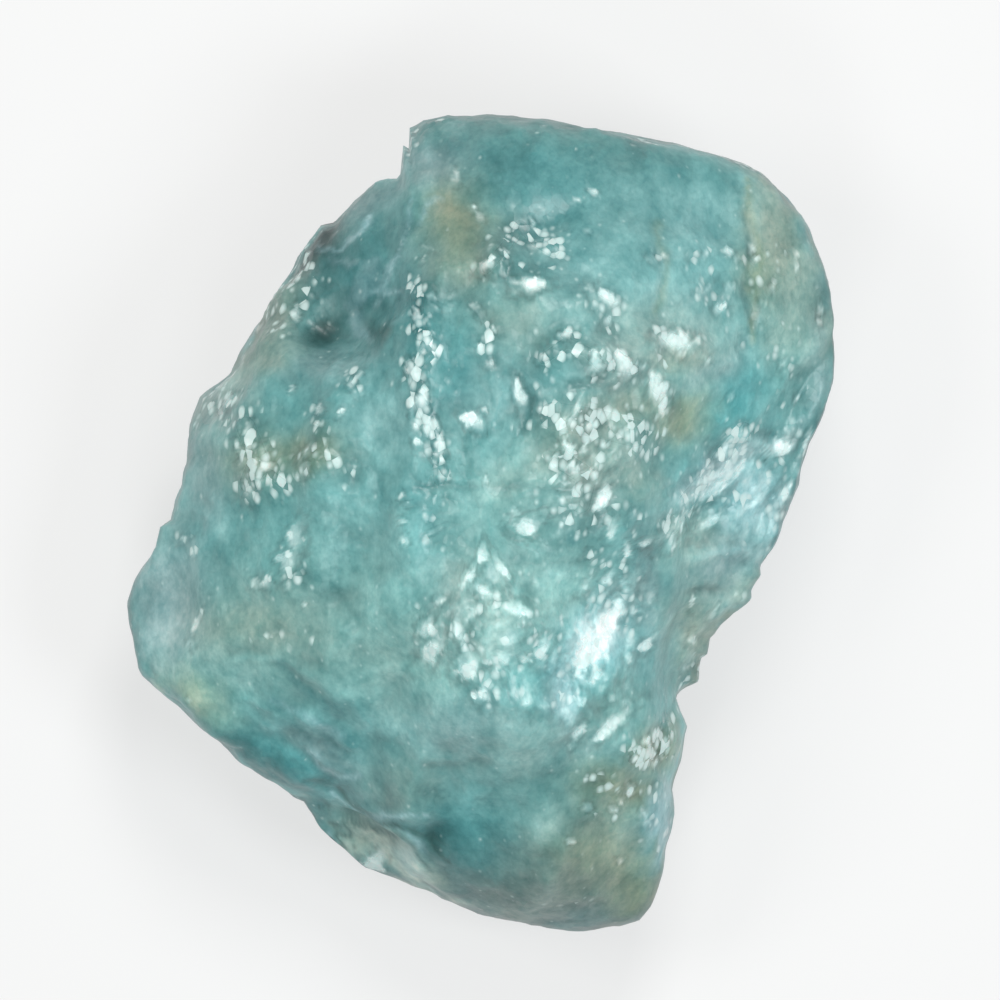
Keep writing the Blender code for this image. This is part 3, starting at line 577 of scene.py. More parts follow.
def flat_chips_cut(points, directions):
    """The points with each single chip cut to its own plane, and the painted glint on each place.

    A chip is a shard with a ragged border. Its plane is tilted to face its bearing, and only what
    stands above the plane goes. Each chip carries a painted glint, brightest on the side that it
    faces; below zero the value is a painted shadow in a line round a bright one.
    """
    x, y, z = points.T
    near = np.zeros(len(points))
    bent = turned(points)
    ragged = 0.45 * faceted_noise(bent, 0.32, 61) + 0.35 * faceted_noise(bent, 0.17, 62)
    patchy = 1 + 0.45 * smooth_noise(points, 0.45, 63)
    on_front = directions[:, 2] > 0.05
    slope = math.tan(math.radians(CHIP_TILT))
    for facing, glint_strength, chips in FLAT_CHIPS:
        slope_x = -slope * math.cos(math.radians(facing))
        slope_y = -slope * math.sin(math.radians(facing))
        for chip_x, chip_y, along, across, turn in chips:
            place = shard_places(x, y, chip_x, chip_y, along, across, turn) + ragged
            lean = ((chip_x - x) * slope_x + (chip_y - y) * slope_y) / (slope * along)
            # Painted glint: the chip is painted brighter towards the lamp that it faces.
            glint_brightness = glint_strength * patchy * np.clip(0.8 + 0.5 * lean, 0.25, 1.2)
            inside = 1 - smoothstep(place, 0.6, 1.25)
            near += (np.maximum(glint_brightness, 0.5 * near) - near) * inside * on_front
            # Painted shadow: a dark line round each bright chip.
            shadow = np.exp(-(((place - SHADOW_PLACE) / SHADOW_WIDTH) ** 2)) * on_front
            darkest = np.minimum(near, DEEPEST_SHADOW)
            near = np.maximum(near - SHADOW_DEPTH * glint_strength * shadow, darkest)
            if along < LEAST_CUT:
                continue
            centre = np.argmin(np.where(on_front, np.hypot(x - chip_x, y - chip_y), np.inf))
            plane = z[centre] + slope_x * (x - chip_x) + slope_y * (y - chip_y)
            share = (1 - smoothstep(place, 0.3, 1.6)) * on_front
            z = z + np.clip(plane - z, -DEEPEST_CUT, 0) * share
    return np.stack([x, y, z], axis=1), near


MM = 0.001  # metres in a millimetre
FRONT_RINGS, BACK_RINGS, BEARINGS = 142, 46, 518


def ring_directions(rings, bearings):
    """Unit directions over a ball, ring by ring, as (ring, bearing, 3), with the two poles left out.

    The rings are evenly spaced along a profile like the stone's own: nearly flat in the middle and
    steep at the edge.
    """
    def half(count):
        angle = np.linspace(0, math.pi / 2, 2001)
        across, up = 9.5 * np.sin(angle), 6.0 * np.cos(angle) ** 0.6
        length = np.concatenate([[0], np.cumsum(np.hypot(np.diff(across), np.diff(up)))])
        return np.interp(np.linspace(0, length[-1], count + 1), length, angle)

    front, back = half(rings[0]), half(rings[1])
    angle = np.concatenate([front[1:], math.pi - back[1:-1][::-1]])
    turn = np.arange(bearings) * 2 * math.pi / bearings
    level, up = np.sin(angle)[:, None], np.cos(angle)[:, None]
    return np.stack([level * np.cos(turn), level * np.sin(turn), up + 0 * turn], axis=-1)


grid = ring_directions((FRONT_RINGS, BACK_RINGS), BEARINGS)
ring_count = len(grid)
directions = np.concatenate([grid.reshape(-1, 3), [[0, 0, 1], [0, 0, -1]]])
points = stone_surface(directions)
points, relief = chipped(points, directions)
points, chip_glints_and_shadows = flat_chips_cut(points, directions)
points[:, 2] = np.maximum(points[:, 2], 0)

index = np.arange(ring_count * BEARINGS).reshape(ring_count, BEARINGS)
following = np.roll(index, -1, axis=1)
quads = np.stack([index[:-1], index[1:], following[1:], following[:-1]], axis=-1).reshape(-1, 4)
front_pole, back_pole = ring_count * BEARINGS, ring_count * BEARINGS + 1
front_fan = np.stack([np.full(BEARINGS, front_pole), index[0], following[0]], axis=1)
back_fan = np.stack([np.full(BEARINGS, back_pole), following[-1], index[-1]], axis=1)

mesh = bpy.data.meshes.new("rough_aquamarine")
mesh.from_pydata(points * MM, [], quads.tolist() + front_fan.tolist() + back_fan.tolist())
mesh.shade_smooth()
stone = bpy.data.objects.new("rough_aquamarine", mesh)
bpy.context.scene.collection.objects.link(stone)


# ---------------------------------------------------------------------------------------------
# The stone's colour: iron gives beryl its blue-green, in clouds from pale to deep. Limonite in the
# cracks stains it ochre, healed cracks are milky, and thin edges are nearly grey. Painted light and
# shade lie over it: shade in the hollows, pits and edge, shadows round the single chips, glints on
# them and reflections on the bright plates.
# ---------------------------------------------------------------------------------------------
def linear(hex_colour):
    """An sRGB hex colour as linear red, green and blue."""
    value = np.array([int(hex_colour[i:i + 2], 16) / 255 for i in (1, 3, 5)])
    return np.where(value <= 0.04045, value / 12.92, ((value + 0.055) / 1.055) ** 2.4)


# Light meets the colour more than once inside the stone, so the colours that it shows are taken to
# this power, below one, for the paler colours of the beryl itself.
PALER = np.array([0.82, 0.86, 0.86])
# The whole body is darker than its tints by this much, to leave room for the white of the painted glints on
# the chips.
BODY_DEPTH = 0.86

BODY = "#5FA8A8"
PALE = "#78BABB"
TURQUOISE = "#3A9EA3"
DEEP = "#3A8083"
DARK = "#225957"
SLATE = "#5C7F7E"
GREY_TEAL = "#7AA0A3"
GREY_GREEN = "#84A497"
OCHRE = "#7F9C82"
CREAM = "#A0B59A"
MILKY = "#A2C4BC"
ICE = "#9AD2D9"
GLINT_WHITE = "#F2FFFE"

# Clouds of each tint, laid over the ones before: x, y, radii, turn in degrees and share.
CLOUDS = [
    (PALE, [
        (4.8, 8.6, 3.6, 2.2, 0, 0.5), (6.8, 9.0, 1.6, 1.2, 0, 0.5), (3.0, 7.8, 1.4, 1.0, 0, 0.6),
        (5.6, 7.2, 1.6, 0.7, 0, 0.5), (-2.6, 3.1, 1.2, 1.3, 0, 0.8), (0.6, 3.8, 1.4, 1.1, 0, 0.7),
        (-2.6, 0.2, 2.2, 1.4, 0, 0.35), (2.2, -1.6, 0.9, 0.5, 0, 0.6), (-2.6, -5.6, 1.2, 0.8, 0, 0.6),
        (-0.4, -6.4, 1.6, 0.8, 0, 0.4), (7.0, 0.9, 1.5, 1.0, 35, 0.6),
    ]),
    (DEEP, [
        # The first two deep clouds, along the top edge, are painted shade; the one at (-6.2, -7.3) is partly
        # painted shade on the steep lower left wall.
        (3.0, 10.6, 3.4, 0.8, 0, 0.45), (0.6, 10.8, 1.4, 0.8, 0, 0.7), (-3.6, 8.2, 1.2, 1.6, 0, 0.7),
        (-3.0, 7.0, 1.5, 1.3, 0, 0.7), (-2.4, 4.9, 0.9, 1.2, 20, 0.4), (2.6, -0.2, 0.8, 0.8, 0, 0.5),
        (-4.2, -2.0, 0.5, 0.4, 0, 0.7), (5.0, -4.2, 0.8, 1.2, 0, 0.4), (-6.2, -7.3, 2.6, 0.45, -36, 0.7),
        (-3.9, -8.0, 1.2, 0.5, -35, 0.6), (-2.0, -8.6, 1.6, 0.6, -30, 0.6),
        (-0.4, -10.6, 2.2, 1.3, 0, 0.9), (2.2, -11.2, 1.8, 0.9, 0, 0.5), (-0.2, -8.8, 1.3, 1.1, 0, 0.4),
    ]),
    (TURQUOISE, [
        (2.0, 9.6, 1.8, 1.0, 0, 0.4), (7.5, 3.5, 1.1, 0.7, 30, 0.8), (8.6, 5.2, 1.5, 0.8, 70, 0.55),
        (-0.9, 4.9, 0.8, 1.2, 0, 0.5), (-0.4, -8.6, 1.3, 1.2, 0, 0.6), (1.6, -7.4, 1.6, 1.0, 0, 0.3),
        # The cloud at (-5.8, -7.2) is partly painted shade on the steep lower left wall.
        (-2.0, 6.4, 0.6, 1.0, 0, 0.5), (-5.8, -7.2, 2.4, 0.8, -36, 0.55), (-4.6, -6.0, 1.6, 0.8, -35, 0.4),
        (-3.4, 7.4, 0.8, 0.6, 0, 0.4),
    ]),
    (SLATE, [
        (2.4, -12.1, 4.8, 1.5, 0, 0.85), (-4.6, 8.6, 0.7, 0.5, 40, 0.9), (-5.2, 8.0, 0.5, 0.9, -30, 0.7),
        (-3.7, 9.75, 1.1, 0.35, 30, 0.6),
    ]),
    (GREY_TEAL, [
        (7.2, 4.6, 1.0, 0.6, 30, 0.4), (1.0, -6.6, 3.0, 1.1, 0, 0.35), (-0.8, -6.0, 1.6, 1.0, 0, 0.3),
        (-1.4, 10.8, 1.0, 0.9, 0, 0.8), (-3.2, 9.7, 1.0, 0.4, 30, 0.6), (10.2, 4.6, 0.6, 2.6, 0, 0.6),
        (-4.6, 4.8, 1.6, 0.7, 10, 0.5), (-8.2, 1.6, 0.9, 1.8, 0, 0.6), (-9.4, -2.6, 1.3, 2.2, 0, 0.9),
        (7.4, -1.3, 1.4, 1.2, 40, 0.8), (-4.8, -6.6, 1.2, 0.5, -30, 0.6), (5.0, -2.0, 0.6, 1.8, 0, 0.6),
    ]),
    (GREY_GREEN, [
        (-4.6, -2.6, 3.0, 2.2, 0, 0.25), (-2.0, -4.4, 2.0, 1.6, 0, 0.3), (3.2, -2.2, 1.6, 1.0, 0, 0.3),
        (1.2, -1.0, 2.2, 2.4, 0, 0.25), (-6.6, -3.6, 2.6, 1.6, 0, 0.3), (1.2, -7.2, 2.0, 1.4, 0, 0.3),
        (8.9, 8.6, 1.0, 2.0, 0, 0.9), (9.3, 6.4, 1.0, 2.2, 0, 0.6), (1.0, 6.2, 1.2, 0.8, 0, 0.5),
        (-0.7, 7.8, 0.9, 0.9, 0, 0.6), (-6.4, 6.2, 0.7, 1.6, -30, 0.9), (-7.2, 4.9, 0.9, 0.6, 40, 0.7),
        (-6.9, -3.1, 1.6, 0.8, 0, 0.6), (6.4, -3.2, 0.8, 1.4, 0, 0.9), (6.6, -4.6, 0.6, 0.8, 0, 0.9),
        (6.0, -6.3, 0.4, 0.7, 0, 0.7), (3.4, -9.6, 1.9, 1.5, 0, 0.7), (-2.2, -7.9, 1.2, 1.0, 0, 0.35),
        (1.0, 1.2, 1.4, 0.8, 0, 0.3), (-6.3, 5.2, 1.0, 0.8, 0, 0.5), (4.6, 1.4, 1.0, 0.8, 0, 0.6),
        (6.3, -0.4, 1.0, 0.9, 40, 0.5), (8.0, -2.1, 0.9, 0.7, 40, 0.6), (3.6, -5.6, 1.6, 0.9, 20, 0.35),
        (2.4, -11.2, 3.0, 1.0, 0, 0.4),
    ]),
    (OCHRE, [
        (-0.6, 8.9, 1.1, 1.3, 10, 0.85), (8.2, 7.4, 0.5, 1.0, 0, 0.5), (4.4, 3.5, 1.2, 0.6, 20, 0.7),
        (6.1, 3.1, 1.0, 0.7, 20, 0.9), (2.9, 2.4, 1.3, 0.9, 0, 0.45), (6.0, 5.0, 0.9, 0.5, 0, 0.4),
        (-6.3, 1.9, 1.4, 0.9, 0, 0.7), (-4.8, 2.1, 1.0, 0.6, 0, 0.7), (-8.4, -5.2, 1.2, 0.7, -40, 0.6),
        (4.9, -11.0, 1.0, 0.9, 0, 0.8), (3.9, -7.9, 1.2, 0.8, 0, 0.8), (3.6, -10.0, 1.2, 1.0, 0, 0.7),
        (5.2, -6.8, 0.7, 0.8, 0, 0.6), (-4.7, -9.1, 0.5, 0.35, -50, 0.5),
    ]),
    (CREAM, [
        (-0.8, 9.3, 0.5, 0.5, 0, 0.6), (5.9, 4.95, 0.6, 0.35, 0, 0.6), (-8.5, -5.3, 0.5, 0.3, -40, 0.3),
        (4.4, -8.0, 0.6, 0.4, 0, 0.5), (5.2, -6.7, 0.6, 0.4, 60, 0.6), (-3.3, -9.45, 1.0, 0.4, -34, 0.6),
        (-2.2, -10.3, 1.0, 0.5, -36, 0.7),
    ]),
    (MILKY, [
        (5.4, 5.5, 2.2, 1.3, -10, 0.6), (4.0, 4.6, 1.2, 0.8, 0, 0.5), (3.6, 2.8, 1.6, 1.1, 10, 0.5),
        (3.1, 1.3, 1.1, 1.2, 0, 0.55), (-7.9, 3.8, 1.1, 0.9, 30, 0.6), (0.2, -3.0, 1.7, 1.3, 0, 0.45),
        (-0.5, -1.5, 0.6, 0.6, 0, 0.3), (-3.1, -9.9, 1.9, 0.65, -36, 0.7),
    ]),
    (ICE, [
        # Painted reflection, in part: the clouds at (3.6, -3.4), (8.2, 0.8) and (7.2, 1.5) stand in for lamps
        # seen in the bright plates.
        (3.6, -3.4, 1.5, 0.7, 64, 0.7), (2.6, -5.2, 0.5, 0.9, 15, 0.7), (8.2, 0.8, 1.1, 0.8, 40, 0.7),
        (5.5, -8.9, 0.5, 1.3, 0, 0.8), (7.2, 1.5, 1.4, 0.5, 38, 0.6), (-2.0, -10.1, 0.6, 0.4, -40, 0.4),
    ]),
    # Painted highlights: white patches where the bright plates reflect the lamps.
    (GLINT_WHITE, [
        (3.6, -3.3, 0.9, 0.36, 64, 0.7), (7.2, 1.5, 1.2, 0.3, 38, 0.3), (8.9, 0.1, 0.7, 0.3, 75, 0.5),
        (8.9, 2.4, 0.5, 0.3, 20, 0.3),
    ]),
    (DARK, [
        # Painted shade: the long cloud along the top edge is a painted shadow, and the small ones at (-4.75,
        # 5.8), (-3.0, 5.65) and (-1.2, -9.5) are painted shade in the pits.
        (3.6, 12.4, 7.0, 1.3, -4, 0.6), (-4.75, 5.8, 0.65, 0.32, 10, 0.8), (-3.0, 5.65, 0.4, 0.35, 0, 0.8),
        (2.5, -3.45, 0.25, 0.2, 0, 0.3), (-1.2, -9.5, 0.5, 0.4, -60, 0.8), (8.6, 1.85, 0.09, 0.09, 0, 0.9),
    ]),
]

# Places where the colour is made deeper (below one) or paler: partly the beryl's own tone, partly
# painted shade and painted light laid over the lamps' shading, as on the top edge, in the pits,
# along the lower left edge and on the bright plates. x, y, radii, turn in degrees and gain.
TONES_AND_PAINTED_LIGHT = [
    (-2.0, 6.2, 4.0, 3.2, 0, 0.84), (2.6, 9.0, 3.8, 1.6, 0, 0.88), (-3.5, 3.0, 2.5, 1.5, 0, 0.84),
    (0.5, 3.8, 2.2, 1.6, 0, 0.9), (0.0, -10.4, 5.0, 1.8, 0, 0.82), (-2.0, -9.0, 2.4, 1.4, -35, 0.85),
    (-4.2, 0.6, 1.6, 1.6, 0, 0.86), (0.6, -3.6, 2.4, 1.6, 0, 1.18), (3.3, -3.8, 1.4, 2.0, 20, 1.3),
    (3.0, -6.0, 1.6, 1.2, 0, 1.05), (6.9, 0.9, 1.6, 0.9, 35, 1.2), (-9.5, -3.4, 1.2, 2.2, 0, 1.35),
    (-8.2, -5.2, 1.2, 0.8, -35, 1.2), (1.2, -2.2, 1.8, 0.8, 0, 1.05), (8.4, -0.6, 1.0, 1.2, 0, 1.15),
    (4.6, 9.4, 4.0, 1.4, 0, 0.9), (-3.3, 6.8, 2.0, 1.8, 0, 0.76), (-3.0, -10.0, 1.9, 0.9, -36, 1.5),
    (-4.7, 5.8, 0.8, 0.45, 10, 0.8), (-2.9, 5.7, 0.6, 0.7, 0, 0.75), (-1.9, -9.2, 0.8, 0.4, -36, 1.15),
    (-5.0, -6.2, 1.6, 0.7, -35, 0.84), (-2.0, -8.8, 1.2, 0.5, -40, 1.0), (0.3, -4.6, 2.2, 1.0, 0, 1.12),
    (-6.4, -7.5, 2.4, 0.5, -33, 0.65), (2.9, -2.0, 1.6, 0.8, 0, 1.1), (-7.4, -4.0, 2.0, 1.4, 0, 1.12),
    (-0.6, -4.0, 1.4, 1.0, 0, 1.15), (6.2, -0.4, 1.0, 1.0, 0, 1.25), (2.7, 7.0, 1.2, 0.8, 0, 0.9),
    (4.5, 5.3, 1.2, 0.7, 0, 0.92), (0.9, 5.2, 0.9, 0.9, 0, 0.9), (-2.6, 6.6, 1.0, 1.6, 0, 1.15),
    (-3.0, 4.6, 1.6, 1.4, 0, 1.15), (3.8, -5.8, 1.6, 1.0, 30, 0.93), (8.4, 8.8, 1.0, 1.0, 0, 0.92),
    (0.0, 8.8, 2.4, 1.2, 0, 0.9), (-2.6, 6.9, 0.8, 1.2, 0, 1.15), (0.2, 5.2, 1.4, 0.8, 0, 0.93),
    (-6.3, 5.2, 1.0, 0.9, 0, 0.88), (3.4, 3.4, 1.6, 0.8, 0, 0.92), (-2.8, 1.2, 1.6, 0.9, 0, 1.08),
    (8.0, 1.4, 1.2, 0.8, 40, 1.1), (-3.4, -0.4, 2.0, 0.8, 0, 1.06), (2.6, -2.2, 1.0, 0.8, 0, 1.12),
    (6.4, -5.4, 0.6, 1.2, 0, 1.2), (4.6, -9.2, 1.0, 1.0, 0, 1.15), (-2.2, -10.4, 1.1, 0.6, -36, 1.25),
    (2.6, -11.1, 3.4, 0.9, 0, 0.84), (-4.4, -9.0, 0.8, 0.5, -36, 1.2), (-2.7, 3.4, 1.0, 1.0, 0, 1.08),
    (2.7, 7.0, 1.0, 0.8, 0, 0.93), (9.2, 4.6, 1.0, 1.6, 0, 1.2), (7.6, -2.0, 1.0, 0.6, 40, 1.3),
    (7.2, 8.1, 1.0, 0.8, 0, 1.2), (-0.8, -2.2, 0.9, 0.8, 0, 0.85), (-4.8, 8.55, 1.0, 0.6, 40, 0.4),
    (1.9, 4.6, 0.5, 1.1, 20, 1.2), (10.2, 3.0, 0.7, 3.0, 0, 0.95),
]

# Cracks of each tint, healed ones milky and open ones dark: path, half width and share.
CRACKS = [
    (ICE, [
        ([(-3.4, 9.2), (-3.65, 8.55), (-3.95, 8.2), (-4.5, 8.15), (-4.9, 8.2)], 0.06, 0.8),
        ([(-2.1, 9.5), (-2.3, 8.9), (-2.4, 8.3), (-2.7, 7.8), (-3.1, 7.2), (-3.4, 6.7)], 0.07, 0.55),
        ([(-2.2, 7.1), (-2.7, 7.1), (-2.95, 6.85), (-3.1, 6.5)], 0.06, 0.75),
        ([(-2.5, 8.0), (-2.75, 7.4), (-3.1, 6.9), (-3.3, 6.9)], 0.06, 0.6),
        ([(-3.2, 7.8), (-3.4, 7.2), (-3.6, 6.4), (-3.4, 5.6)], 0.16, 0.35),
        ([(-1.2, 9.5), (-1.6, 9.3), (-1.7, 8.9)], 0.08, 0.5),
        ([(-4.3, 7.9), (-3.9, 7.6), (-3.6, 7.7)], 0.09, 0.4),
        ([(-3.7, 6.2), (-3.5, 5.7), (-3.2, 5.4)], 0.12, 0.5),
        ([(-5.1, -6.8), (-4.7, -7.2), (-4.1, -7.5), (-3.6, -7.5)], 0.08, 0.6),
        ([(-4.4, -8.1), (-3.9, -8.4), (-3.3, -8.7), (-2.7, -8.7), (-1.5, -8.6)], 0.08, 0.6),
        ([(-2.4, -9.3), (-2.0, -9.5), (-1.6, -9.8)], 0.08, 0.6),
        ([(-6.3, -5.3), (-5.4, -5.5), (-4.8, -6.0), (-4.3, -6.2)], 0.08, 0.4),
    ]),
    (DEEP, [
        ([(-6.0, -4.3), (-5.4, -4.8), (-4.8, -5.2), (-4.4, -5.6)], 0.16, 0.6),
        ([(-2.4, 1.1), (0.2, 1.15), (2.6, 1.0), (4.8, 1.15)], 0.10, 0.3),
        ([(-1.0, -10.05), (0.4, -10.05)], 0.12, 0.5), ([(2.7, -0.3), (2.75, -0.7)], 0.10, 0.7),
    ]),
    (DARK, [
        ([(-5.2, -7.7), (-4.6, -7.8)], 0.14, 0.6),
        ([(-4.2, -7.9), (-3.2, -8.75), (-2.4, -9.15), (-1.4, -9.5), (-0.8, -10.1)], 0.10, 0.8),
        ([(-4.9, -8.4), (-4.2, -8.8), (-3.4, -9.05), (-2.6, -9.45), (-2.0, -9.8), (-1.6, -10.4)], 0.10, 0.7),
    ]),
    (OCHRE, [
        ([(5.2, 8.8), (5.5, 7.4), (5.3, 6.3)], 0.12, 0.4),
        ([(7.9, 9.8), (8.2, 8.4), (8.0, 7.0), (8.3, 5.6)], 0.14, 0.6),
    ]),
]


def clouded_colour(x, y):
    """The body colour, with each cloud mixed in by its share, which falls off from its middle.

    Cracks are mixed in after the clouds, by the distance from their paths.
    """
    colour = np.tile(linear(BODY), (len(x), 1))
    for shade, places in CLOUDS:
        for cloud_x, cloud_y, along, across, turn, most in places:
            place = ellipse_places(x, y, cloud_x, cloud_y, along, across, turn)
            share = (most * np.exp(-(place**2.4)))[:, None]
            colour += (linear(shade) - colour) * share
    for shade, paths in CRACKS:
        for path, half_width, most in paths:
            side, _ = path_places(x, y, path)
            share = (most * np.exp(-((side / half_width) ** 2)))[:, None]
            colour += (linear(shade) - colour) * share
    return colour


stone_x, stone_y, _ = points.T
upright = directions[:, 2]

# Chips lie along the groups on the front, and are scattered at random on the sides and the back.
strength = chip_strength(stone_x, stone_y) * smoothstep(upright, 0.0, 0.1)
clusters = smooth_noise(points, 1.6, 81) + 0.4 * smooth_noise(points, 0.7, 82)
scattered = 0.8 * smoothstep(clusters, 0.15, 0.7)
strength = np.maximum(strength, scattered * (1 - smoothstep(upright, 0.1, 0.4)))

# The clouds' borders wander by a fraction of a millimetre, and more on the steep sides, where they
# would otherwise be drawn out into upright stripes.
SIDE_WANDER = 4.0
wander = [
    smooth_noise(points, 1.4, seed) * 0.22 + smooth_noise(points, 0.6, seed + 5) * 0.16
    + smooth_noise(points, 0.25, seed + 9) * 0.08
    for seed in (71, 72)
]
on_side = 1 - smoothstep(np.abs(upright), 0.05, 0.35)
wander_x, wander_y = (one * (1 + SIDE_WANDER * on_side) for one in wander)
cloud_x, cloud_y = stone_x + wander_x, stone_y + wander_y

# Painted shade: hollows are painted darker than ridges, and so are the thin edge and the painted shadows
# round the single chips.
HOLLOW_SHADE, CHIP_SHADE, EDGE_SHADE, SHADOW_SHADE = 1.6, 0.25, 0.3, 0.7
colour = BODY_DEPTH * clouded_colour(cloud_x, cloud_y) ** PALER
colour *= np.clip(1 + HOLLOW_SHADE * relief - CHIP_SHADE * strength, 0.6, 1.4)[:, None]
# Painted shade and painted light, mixed with the beryl's own deeper and paler places.
for shade_x, shade_y, along, across, turn, gain in TONES_AND_PAINTED_LIGHT:
    from_shade = ellipse_places(cloud_x, cloud_y, shade_x, shade_y, along, across, turn)
    colour *= (1 + (gain - 1) * np.exp(-(from_shade**2.4)))[:, None]
# Painted shade: the band round the widest line is darkened, as refraction darkens a thin edge.
colour *= (1 - EDGE_SHADE * np.exp(-((upright / 0.10) ** 2)))[:, None]
# Painted shadow round each bright single chip.
colour *= (1 + SHADOW_SHADE * np.minimum(chip_glints_and_shadows, 0))[:, None]

# Painted glint: a bright chip is painted white, as a lamp's flash on it, part of it the body's own colour lit
# up.
BRIGHTEST_GLINT = 0.78
glint_share = BRIGHTEST_GLINT * smoothstep(chip_glints_and_shadows, 0.1, 1.5)[:, None]
glint_colour = 0.65 * linear(GLINT_WHITE) + 0.35 * np.minimum(1.9 * colour, 1)
colour += (glint_colour - colour) * glint_share
tint = mesh.attributes.new("tint", "FLOAT_COLOR", "POINT")
opaque = np.ones(len(colour))
tint.data.foreach_set("color", np.column_stack([colour, opaque]).astype(np.float32).ravel())

# The chips' value also sets where small cells are painted white in the material, as glints and crushed beryl.
chips = np.maximum(0.75 * strength, 0.6 * chip_glints_and_shadows)
chips_layer = mesh.attributes.new("chips", "FLOAT", "POINT")
chips_layer.data.foreach_set("value", chips.astype(np.float32))

# The thin edge lets more light through, and the clear flake at the foot the most.
clear = 0.25 * np.exp(-((upright / 0.12) ** 2))
from_flake = ellipse_places(stone_x, stone_y, -3.0, -10.0, 1.9, 0.7, -36)
clear = np.maximum(clear, 0.5 * np.exp(-(from_flake**4)))
clear_layer = mesh.attributes.new("clear", "FLOAT", "POINT")
clear_layer.data.foreach_set("value", clear.astype(np.float32))


# ---------------------------------------------------------------------------------------------
# The stone's material: cloudy beryl. Its index is 1.575, worn faces are waxy, fresh chips glassy.
# Light gets through it, dimmed towards blue-green as iron takes out the red.
# ---------------------------------------------------------------------------------------------
beryl = bpy.data.materials.new("cloudy_beryl")
beryl.use_nodes = True
tree = beryl.node_tree


def node(kind, inputs=None, **settings):
    """A node of this kind, with its settings, and its inputs set to values or linked.

    A whole node given as an input stands for its first output.
    """
    made = tree.nodes.new(kind)
    for name, value in settings.items():
        setattr(made, name, value)
    for name, value in (inputs or {}).items():
        if isinstance(name, str):
            socket = next(one for one in made.inputs if one.name == name and one.enabled)
        else:
            socket = made.inputs[name]
        if isinstance(value, bpy.types.Node):
            value = next(one for one in value.outputs if one.enabled)
        if isinstance(value, bpy.types.NodeSocket):
            tree.links.new(value, socket)
        else:
            socket.default_value = value
    return made


shader = tree.nodes["Principled BSDF"]
surface = tree.nodes["Material Output"]
place_read = node("ShaderNodeTexCoord").outputs["Object"]
tint_read = node("ShaderNodeAttribute", attribute_name="tint").outputs["Color"]
chips_read = node("ShaderNodeAttribute", attribute_name="chips").outputs["Fac"]
clear_read = node("ShaderNodeAttribute", attribute_name="clear").outputs["Fac"]

# Mottling in the cloudiness, 0.9 mm across (1100 to the metre) and a third longer along the
# crystal's long axis. It runs from deeper blue-green to milkier.
grain_axes = node("ShaderNodeVectorMath", {0: place_read, 1: (1.0, 0.75, 1.0)},
                  operation="MULTIPLY")
mottle = node("ShaderNodeTexNoise",
              {"Vector": grain_axes, "Scale": 1100.0, "Detail": 3.0, "Roughness": 0.5})
mottled = node("ShaderNodeMapRange",
               {"Value": mottle.outputs["Fac"], "From Min": 0.25, "From Max": 0.75})
deeper = node("ShaderNodeMix", {"Factor": 1.0, "A": tint_read, "B": (0.60, 0.74, 0.75, 1.0)},
              data_type="RGBA", blend_type="MULTIPLY")
milkier = node("ShaderNodeMix", {"Factor": 1.0, "A": tint_read, "B": (1.42, 1.24, 1.22, 1.0)},
               data_type="RGBA", blend_type="MULTIPLY")
cloudy = node("ShaderNodeMix", {"Factor": mottled, "A": deeper, "B": milkier}, data_type="RGBA")

# Finer grain in it, 0.2 mm across (4600 to the metre), from specks and bubbles too small to see
# singly.
grain = node("ShaderNodeTexNoise",
             {"Vector": grain_axes, "Scale": 4600.0, "Detail": 2.0, "Roughness": 0.65})
grained = node("ShaderNodeMapRange",
               {"Value": grain.outputs["Fac"], "From Min": 0.25, "From Max": 0.75})
grain_gain = node("ShaderNodeMix", {"Factor": grained, "A": (0.74, 0.84, 0.85, 1.0),
                                    "B": (1.28, 1.16, 1.15, 1.0)}, data_type="RGBA")
body = node("ShaderNodeMix", {"Factor": 1.0, "A": cloudy, "B": grain_gain},
            data_type="RGBA", blend_type="MULTIPLY", clamp_result=True)

# Small chips, a quarter of a millimetre across (4200 to the metre): each is a flat with its own
# random tilt. The stronger the place is broken, the more of them are white, from the middle of the
# chip outwards: partly the white of crushed beryl, partly painted glints.
cells = node("ShaderNodeTexVoronoi", {"Vector": grain_axes, "Scale": 4200.0})
chance = node("ShaderNodeSeparateColor", {"Color": cells.outputs["Color"]})
over = node("ShaderNodeMath", {0: chips_read, 1: chance.outputs["Red"]}, operation="SUBTRACT")
inner = node("ShaderNodeMath", {0: cells.outputs["Distance"], 1: -0.7, 2: over}, operation="MULTIPLY_ADD")
whiteness = node("ShaderNodeMapRange", {"Value": inner, "From Min": -0.3, "From Max": 0.2},
                 interpolation_type="SMOOTHSTEP")
crushed_and_glint_white = node("ShaderNodeMix", {"Factor": 0.75, "A": body, "B": (0.70, 0.84, 0.82, 1.0)},
               data_type="RGBA")
base = node("ShaderNodeMix", {"Factor": whiteness, "A": body, "B": crushed_and_glint_white}, data_type="RGBA")
from_middle = node("ShaderNodeVectorMath", {0: grain_axes, 1: cells.outputs["Position"]},
                   operation="SUBTRACT")
tilt = node("ShaderNodeVectorMath", {0: cells.outputs["Color"], 1: (0.5, 0.5, 0.5)},
            operation="SUBTRACT")
facets = node("ShaderNodeVectorMath", {0: from_middle, 1: tilt}, operation="DOT_PRODUCT")
keen = node("ShaderNodeMapRange", {"Value": chips_read, "To Min": 0.15, "To Max": 0.5})
chip_relief = node("ShaderNodeMath", {0: facets.outputs["Value"], 1: keen}, operation="MULTIPLY")
bump = node("ShaderNodeBump", {"Strength": 1.0, "Distance": 1.0, "Height": chip_relief})

# Worn faces are waxy and fresh breaks glossier. The thin edge and the flake are the clearest.
rough = node("ShaderNodeMapRange", {"Value": chips_read, "To Min": 0.36, "To Max": 0.22})
let_through = node("ShaderNodeMapRange", {"Value": clear_read, "To Min": 0.18, "To Max": 0.6})

